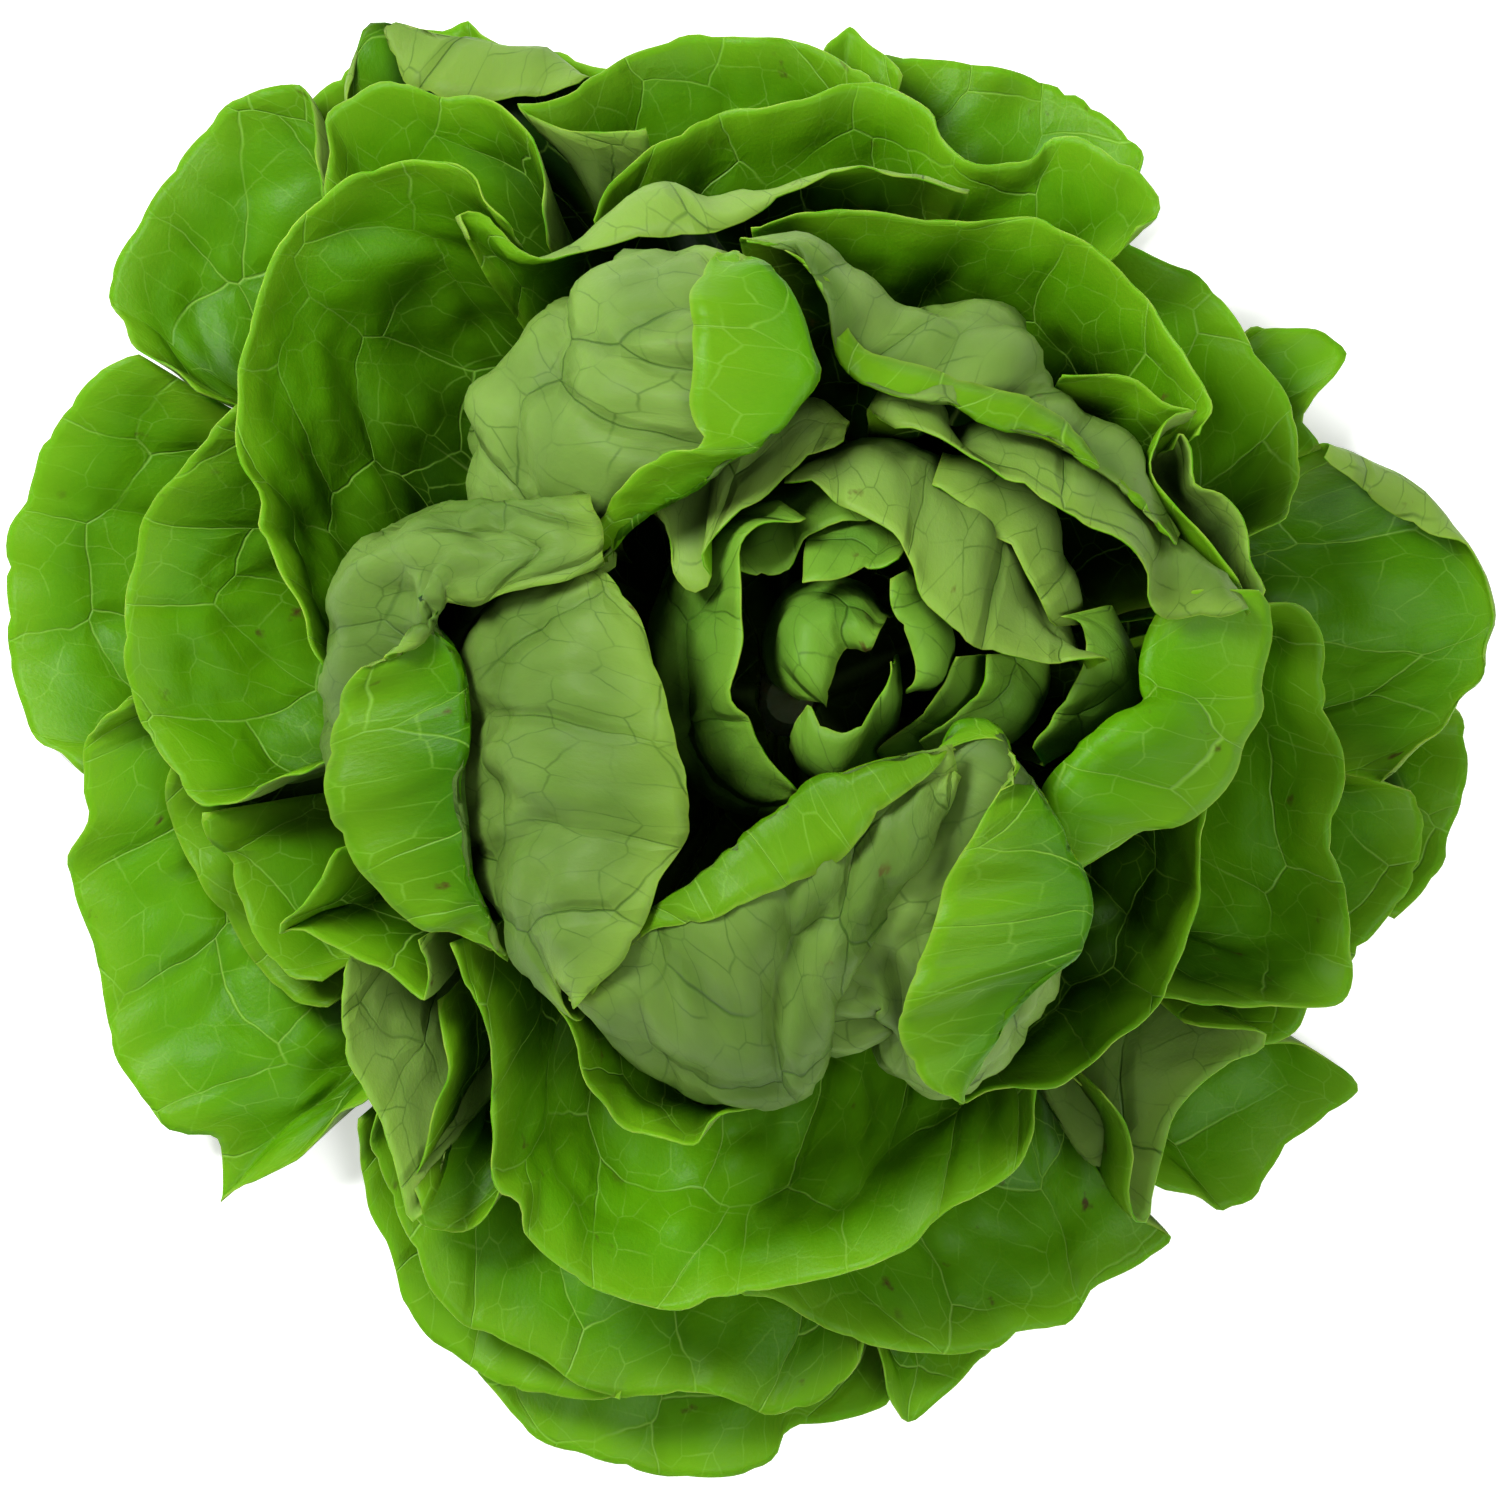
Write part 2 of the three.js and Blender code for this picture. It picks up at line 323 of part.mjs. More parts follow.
      [800, 698, 82]],
    [[882, 628, 88], [858, 606, 90], [830, 602, 91], [803, 612, 91], [791, 644, 90], [795, 674, 89],
      [808, 696, 88]],
    [[874, 640, 92], [856, 628, 95], [836, 626, 96], [818, 634, 96], [809, 655, 95], [810, 676, 94],
      [818, 698, 91]],
    [[866, 652, 91], [856, 650, 94], [845, 654, 95], [836, 664, 95], [832, 676, 94], [830, 688, 92],
      [826, 704, 89]]] },
];

const wasm = await Module();
wasm.setup();

function placeOnPlan([x, y, height]) {
  return new THREE.Vector3((x - STEM_ON_PLAN.x) * PLAN_UNIT, (STEM_ON_PLAN.y - y) * PLAN_UNIT, height);
}

// Running lengths along a line of points, from 0.
function chordKnots(points) {
  const knots = [0];
  for (let i = 1; i < points.length; i += 1) {
    knots.push(knots[i - 1] + Math.max(points[i].distanceTo(points[i - 1]), LEAST_STEP));
  }
  return knots;
}

// The slope of the smooth curve at point i: that of the parabola through it and its neighbours.
function slopeAt(points, knots, i) {
  const last = points.length - 1;
  const secant = (j) => points[j + 1].clone().sub(points[j]).divideScalar(knots[j + 1] - knots[j]);
  if (last < 2 || i === 0) return secant(Math.min(i, last - 1));
  if (i === last) return secant(last - 1);
  const before = knots[i] - knots[i - 1];
  const after = knots[i + 1] - knots[i];
  return secant(i - 1).multiplyScalar(after).addScaledVector(secant(i), before).divideScalar(before + after);
}

// A point of the smooth curve through the given points, at the running value s.
function curvePoint(points, knots, s) {
  let i = 0;
  while (i < points.length - 2 && s > knots[i + 1]) i += 1;
  const span = knots[i + 1] - knots[i];
  const t = THREE.MathUtils.clamp((s - knots[i]) / span, 0, 1);
  const [t2, t3] = [t * t, t * t * t];
  return new THREE.Vector3()
    .addScaledVector(points[i], 2 * t3 - 3 * t2 + 1)
    .addScaledVector(slopeAt(points, knots, i), (t3 - 2 * t2 + t) * span)
    .addScaledVector(points[i + 1], 3 * t2 - 2 * t3)
    .addScaledVector(slopeAt(points, knots, i + 1), (t3 - t2) * span);
}

// The same number of points on every row, evenly spread over its length.
function spreadRow(row, columns) {
  const points = row.map(placeOnPlan);
  const knots = chordKnots(points);
  const shares = Array.from({ length: columns + 1 }, (_, i) => i / columns);
  return shares.map((share) => curvePoint(points, knots, knots.at(-1) * share));
}

function atBearing(turn, radius, height) {
  return new THREE.Vector3(Math.cos(turn) * radius, Math.sin(turn) * radius, height);
}

function stemRadiusAt(height) {
  return THREE.MathUtils.lerp(STEM_CUT_RADIUS, STEM_TIP_RADIUS, height / STEM_HEIGHT);
}

// The bearing of each point of a row from the stem, without jumps of a full turn.
function bearings(row) {
  const turns = row.map((point) => Math.atan2(point.y, point.x));
  for (let i = 1; i < turns.length; i += 1) {
    turns[i] -= 2 * Math.PI * Math.round((turns[i] - turns[i - 1]) / (2 * Math.PI));
  }
  return turns;
}

// The hidden rows of a leaf: its neck round the stem and its belly, and an open leaf's shoulder.
function hiddenRows(firstRow, neckHeight, isOpen) {
  const turns = bearings(firstRow);
  const middleTurn = turns.reduce((sum, turn) => sum + turn, 0) / turns.length;
  const side = Math.sign(turns.at(-1) - turns[0]) || 1;
  const neckRadius = stemRadiusAt(neckHeight) + NECK_GAP + BLADE / 2;
  const neckSpread = Math.min(NECK_WIDTH / neckRadius, WIDEST_NECK);
  const neck = [];
  const belly = [];
  const shoulder = [];
  firstRow.forEach((point, i) => {
    const neckTurn = middleTurn + side * (i / (firstRow.length - 1) - 0.5) * neckSpread;
    neck.push(atBearing(neckTurn, neckRadius, neckHeight));
    const bellyTurn = middleTurn + (turns[i] - middleTurn) * BELLY_SPREAD;
    const radius = THREE.MathUtils.lerp(neckRadius, Math.hypot(point.x, point.y), BELLY_REACH);
    const hang = BELLY_HANG * neckHeight * Math.min(radius / HANG_RADIUS, 1);
    belly.push(atBearing(bellyTurn, radius, neckHeight - hang + BELLY_RISE * (point.z - neckHeight)));
    shoulder.push(belly[i].clone().lerp(point, SHOULDER_REACH));
    shoulder[i].z -= SHOULDER_DIP + SHOULDER_BOWL * Math.max(point.z - belly[i].z, 0);
  });
  return isOpen ? [neck, belly, shoulder] : [neck, belly];
}

// Where the rows lie along a leaf, from the average gaps between them.
function rowKnots(rows) {
  const knots = [0];
  for (let j = 1; j < rows.length; j += 1) {
    const gaps = rows[j].map((point, i) => point.distanceTo(rows[j - 1][i]));
    knots.push(knots[j - 1] + Math.max(gaps.reduce((sum, gap) => sum + gap, 0) / gaps.length, 1));
  }
  return knots;
}

// The middle surface of a leaf, as a grid of points from neck to margin.
function leafGrid(leaf, rank) {
  const marginLength = chordKnots(leaf.rows.at(-1).map(placeOnPlan)).at(-1);
  const facets = Math.round(marginLength / FACET_ACROSS);
  const columns = THREE.MathUtils.clamp(facets, FEWEST_COLUMNS, MOST_COLUMNS);
  const given = leaf.rows.map((row) => spreadRow(row, columns));
  const neckHeight = THREE.MathUtils.lerp(LOWEST_NECK, HIGHEST_NECK, rank);
  const isOpen = given.length < 3 && !CLOSED.test(leaf.name);
  const rows = [...hiddenRows(given[0], neckHeight, isOpen), ...given];
  const knots = rowKnots(rows);
  const steps = [0];
  for (let j = 1; j < rows.length; j += 1) {
    const cells = Math.max(1, Math.round((knots[j] - knots[j - 1]) / FACET_ALONG));
    for (let cell = 1; cell <= cells; cell += 1) {
      steps.push(THREE.MathUtils.lerp(knots[j - 1], knots[j], cell / cells));
    }
  }
  const waves = Math.max(1, Math.round(marginLength / WAVE_LENGTH));
  return steps.map((step) => rows[0].map((_, i) => {
    const point = curvePoint(rows.map((row) => row[i]), knots, step);
    const swing = Math.sin((2 * Math.PI * waves * i) / columns + WAVE_TURN * rank);
    point.z += WAVE_HEIGHT * (step / knots.at(-1)) ** WAVE_FADE * swing;
    return point;
  }));
}

// The normal of the upper face at each point of a grid.
function gridNormals(grid) {
  const [lastRow, lastColumn] = [grid.length - 1, grid[0].length - 1];
  return grid.map((row, j) => row.map((_, i) => {
    const along = grid[Math.min(j + 1, lastRow)][i].clone().sub(grid[Math.max(j - 1, 0)][i]);
    const round = row[Math.min(i + 1, lastColumn)].clone().sub(row[Math.max(i - 1, 0)]);
    return along.cross(round).normalize();
  }));
}

// How far the midrib stands out below a point of the blade.
function ribHeight(grid, j, i) {
  const across = (i / (grid[0].length - 1) - 0.5) / RIB_WIDTH;
  return RIB_HEIGHT * Math.exp(-across * across) * (1 - j / (grid.length - 1)) ** RIB_FADE;
}

// A leaf for the bending: its triangles, and test points at its corners, edges and cells.
function sheetOf(grid) {
  const normals = gridNormals(grid);
  const triangles = [];
  for (let j = 0; j < grid.length - 1; j += 1) {
    for (let i = 0; i < grid[0].length - 1; i += 1) {
      for (const corners of [[[j, i], [j, i + 1], [j + 1, i + 1]], [[j, i], [j + 1, i + 1], [j + 1, i]]]) {
        const shape = new THREE.Triangle(...corners.map(([row, column]) => grid[row][column]));
        const box = new THREE.Box3().setFromPoints([shape.a, shape.b, shape.c]);
        triangles.push({ corners, shape, box });
      }
    }
  }
  const tests = [];
  for (let j = 0; j <= 2 * (grid.length - 1); j += 1) {
    for (let i = 0; i <= 2 * (grid[0].length - 1); i += 1) {
      const corners = new Set([[j >> 1, i >> 1], [(j + 1) >> 1, (i + 1) >> 1]].map(String));
      const owners = [...corners].map((corner) => corner.split(",").map(Number));
      const point = new THREE.Vector3();
      owners.forEach(([row, column]) => point.addScaledVector(grid[row][column], 1 / owners.length));
      tests.push({ owners, point });
    }
  }
  const box = new THREE.Box3().setFromPoints(grid.flat()).expandByScalar(CLEAR_REACH / 2);
  // A leaf with its underside up has its inner side on the other face.
  const facing = Math.sign(normals[1][Math.floor(grid[1].length / 2)].z) || 1;
  return { normals, triangles, tests, box, facing };
}

// Pushes two leaves apart where a test point of one is too near the other or on its wrong side.
// The inner leaf belongs above the outer leaf's upper face: side is 1 when the tested leaf is inner.
function pushPair(sheet, tested, side, sheetPushes, testedPushes) {
  const nearest = new THREE.Vector3();
  const found = new THREE.Vector3();
  const shares = new THREE.Vector3();
  for (const { owners, point } of tested.tests) {
    if (!sheet.box.containsPoint(point)) continue;
    let best = CLEAR_REACH;
    let hit = null;
    for (const triangle of sheet.triangles) {
      if (triangle.box.distanceToPoint(point) >= best) continue;
      triangle.shape.closestPointToPoint(point, found);
      const distance = found.distanceTo(point);
      if (distance >= best) continue;
      best = distance;
      hit = triangle;
      nearest.copy(found);
    }
    if (!hit) continue;
    hit.shape.getBarycoord(nearest, shares);
    const weights = shares.toArray();
    const normal = new THREE.Vector3();
    hit.corners.forEach(([j, i], k) => normal.addScaledVector(sheet.normals[j][i], weights[k]));
    normal.normalize().multiplyScalar(side * sheet.facing);
    const height = point.clone().sub(nearest).dot(normal);
    const aside = Math.sqrt(Math.max(best * best - height * height, 0));
    if (height >= CLEARANCE || aside > CLEAR_ASIDE) continue;
    normal.multiplyScalar((CLEARANCE - height) * PUSH_SHARE);
    owners.forEach(([j, i]) => testedPushes[j][i].push(normal.clone()));
    hit.corners.forEach(([j, i], k) => sheetPushes[j][i].push(normal.clone().multiplyScalar(-weights[k])));
  }
}

// Moves a point by the sum of its pushes, no further than the strongest, and clear of the stem and of
// the surface that the head stands on.
function movePoint(point, given) {
  const strongest = given.reduce((most, push) => Math.max(most, push.length()), 0);
  const sum = given.reduce((total, push) => total.add(push), new THREE.Vector3());
  point.add(sum.clampLength(0, strongest));
  const clear = stemRadiusAt(Math.min(point.z, STEM_HEIGHT)) + NECK_GAP + BLADE / 2;
  const radius = Math.hypot(point.x, point.y);
  if (point.z < STEM_HEIGHT && radius < clear) {
    point.x *= clear / radius;
    point.y *= clear / radius;
  }
  point.z = Math.max(point.z, BLADE / 2);
}

// Bends the leaves clear of each other.
function bendClear(grids) {
  for (let round = 0; round < BEND_ROUNDS; round += 1) {
    const sheets = grids.map(sheetOf);
    const pushes = grids.map((grid) => grid.map((row) => row.map(() => [])));
    for (let inner = 1; inner < grids.length; inner += 1) {
      for (let outer = 0; outer < inner; outer += 1) {
        if (!sheets[inner].box.intersectsBox(sheets[outer].box)) continue;
        pushPair(sheets[outer], sheets[inner], 1, pushes[outer], pushes[inner]);
        pushPair(sheets[inner], sheets[outer], -1, pushes[inner], pushes[outer]);
      }
    }
    grids.forEach((grid, k) => {
      grid.forEach((row, j) => row.forEach((point, i) => movePoint(point, pushes[k][j][i])));
    });
  }
}

// The solid blade round the middle surface, a prism to each facet, with the midrib standing out below.
function bladeSolid(grid, thickness) {
  const normals = gridNormals(grid);
  const faces = grid.map((row, j) => row.map((point, i) => {
    const above = point.clone().addScaledVector(normals[j][i], thickness / 2);
    const below = point.clone().addScaledVector(normals[j][i], -thickness / 2 - ribHeight(grid, j, i));
    return [above.toArray(), below.toArray()];
  }));
  const prisms = [];
  for (let j = 0; j < grid.length - 1; j += 1) {
    for (let i = 0; i < grid[0].length - 1; i += 1) {
      const [a, b, c, d] = [faces[j][i], faces[j][i + 1], faces[j + 1][i + 1], faces[j + 1][i]];
      prisms.push(wasm.Manifold.hull([...a, ...b, ...c]));
      prisms.push(wasm.Manifold.hull([...a, ...c, ...d]));
    }
  }
  return wasm.Manifold.union(prisms);
}

// The grid with its outer ring of points moved outwards.
function grownGrid(grid, by) {
  const [lastRow, lastColumn] = [grid.length - 1, grid[0].length - 1];
  return grid.map((row, j) => row.map((point, i) => {
    const nearRow = grid[THREE.MathUtils.clamp(j, 1, lastRow - 1)];
    const within = nearRow[THREE.MathUtils.clamp(i, 1, lastColumn - 1)];
    return point.clone().addScaledVector(point.clone().sub(within).normalize(), by);
  }));
}

function largestPiece(solid) {
  return solid.decompose().reduce((largest, piece) => (piece.volume() > largest.volume() ? piece : largest));
}

// What is left of a crossing is cut out of the leaf that loses less by it, with air round the other.
function trimCrossings(grids) {
  const solids = grids.map((grid) => bladeSolid(grid, BLADE));
  const cutters = grids.map((grid) => bladeSolid(grownGrid(grid, TRIM_GAP), BLADE + 2 * TRIM_GAP));
  const reach = BLADE + RIB_HEIGHT;
  const boxes = grids.map((grid) => new THREE.Box3().setFromPoints(grid.flat()).expandByScalar(reach));
  for (let inner = 1; inner < grids.length; inner += 1) {
    for (let outer = 0; outer < inner; outer += 1) {
      if (!boxes[inner].intersectsBox(boxes[outer])) continue;
      if (solids[inner].intersect(solids[outer]).volume() < LEAST_CROSSING) continue;
      const trials = [[inner, outer], [outer, inner]].map(([cut, kept]) => {
        const piece = largestPiece(solids[cut].subtract(cutters[kept]).subtract(solids[kept]));
        return { cut, piece, share: piece.volume() / solids[cut].volume() };
      });
      const best = trials[0].share >= trials[1].share ? trials[0] : trials[1];
      solids[best.cut] = best.piece;
    }
  }
  return solids.map((solid) => largestPiece(solid.simplify(TRIM_SLACK)));
}

function geometryOf(solid) {
  const mesh = solid.getMesh();
  const geometry = new THREE.BufferGeometry();
  geometry.setAttribute("position", new THREE.Float32BufferAttribute(mesh.vertProperties, 3));
  geometry.setIndex(Array.from(mesh.triVerts));
  geometry.computeVertexNormals();
  return geometry;
}

function namedMesh(name, geometry, colour) {
  const mesh = new THREE.Mesh(geometry, new THREE.MeshStandardMaterial({ color: colour, roughness: 0.5 }));
  mesh.name = name;
  return mesh;
}

// The white butt: a flat cut face below, tapering up into the heart.
function makeStem() {
  const profile = [
    new THREE.Vector2(0, 0),
    new THREE.Vector2(STEM_CUT_RADIUS - STEM_CHAMFER, 0),
    new THREE.Vector2(STEM_CUT_RADIUS, STEM_CHAMFER),
    new THREE.Vector2(stemRadiusAt(STEM_HEIGHT - STEM_CROWN), STEM_HEIGHT - STEM_CROWN),
    new THREE.Vector2(0, STEM_HEIGHT),
  ];
  const turned = new THREE.LatheGeometry(profile, STEM_SIDES);
  turned.rotateX(Math.PI / 2);
  return namedMesh("stem", turned, STEM_WHITE);
}

const head = new THREE.Group();
head.name = "butterhead_lettuce";
head.add(makeStem());
const grids = LEAVES.map((leaf, index) => leafGrid(leaf, index / (LEAVES.length - 1)));
bendClear(grids);
trimCrossings(grids).forEach((solid, index) => {
  const { name } = LEAVES[index];
  head.add(namedMesh(name, geometryOf(solid), GREENS[name.split("_")[0]]));
});

export default head;
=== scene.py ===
"""A butterhead lettuce seen from straight above on white.

Every leaf is laid out from the same listed rows as the part's own solids, bent clear of its
neighbours in the same way, and then drawn as a fine waved blade with veins, a pale rim and a midrib.
Lengths of the plan and of the leaves are in millimetres, and meshes are in metres.
"""

import json
import logging
import math
from dataclasses import dataclass, field, replace
from enum import Enum
from typing import Any, Optional, Sequence

import bpy
import numpy as np
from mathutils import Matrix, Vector
from mathutils.bvhtree import BVHTree

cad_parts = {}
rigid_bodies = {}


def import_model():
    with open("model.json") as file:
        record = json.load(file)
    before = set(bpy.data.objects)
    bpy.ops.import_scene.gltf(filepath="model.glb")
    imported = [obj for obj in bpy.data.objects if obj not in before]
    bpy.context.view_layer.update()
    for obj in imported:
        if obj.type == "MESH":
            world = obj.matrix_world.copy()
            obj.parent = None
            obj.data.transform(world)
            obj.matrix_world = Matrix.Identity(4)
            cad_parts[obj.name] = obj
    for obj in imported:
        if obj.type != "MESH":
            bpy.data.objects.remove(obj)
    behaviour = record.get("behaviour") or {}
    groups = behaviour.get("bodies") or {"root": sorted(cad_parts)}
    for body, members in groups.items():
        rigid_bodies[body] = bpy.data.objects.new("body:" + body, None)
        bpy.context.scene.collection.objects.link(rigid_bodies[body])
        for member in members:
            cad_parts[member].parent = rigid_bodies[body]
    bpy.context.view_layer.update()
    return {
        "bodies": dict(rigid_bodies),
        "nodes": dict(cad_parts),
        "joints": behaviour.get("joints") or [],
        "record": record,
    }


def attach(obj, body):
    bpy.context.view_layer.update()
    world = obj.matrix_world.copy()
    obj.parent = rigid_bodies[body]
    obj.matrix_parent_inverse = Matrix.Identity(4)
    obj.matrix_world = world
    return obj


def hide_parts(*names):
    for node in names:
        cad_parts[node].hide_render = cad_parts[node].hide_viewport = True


LOG = logging.getLogger("butterhead")
MM = 0.001
SEED = 7
BODY = "root"

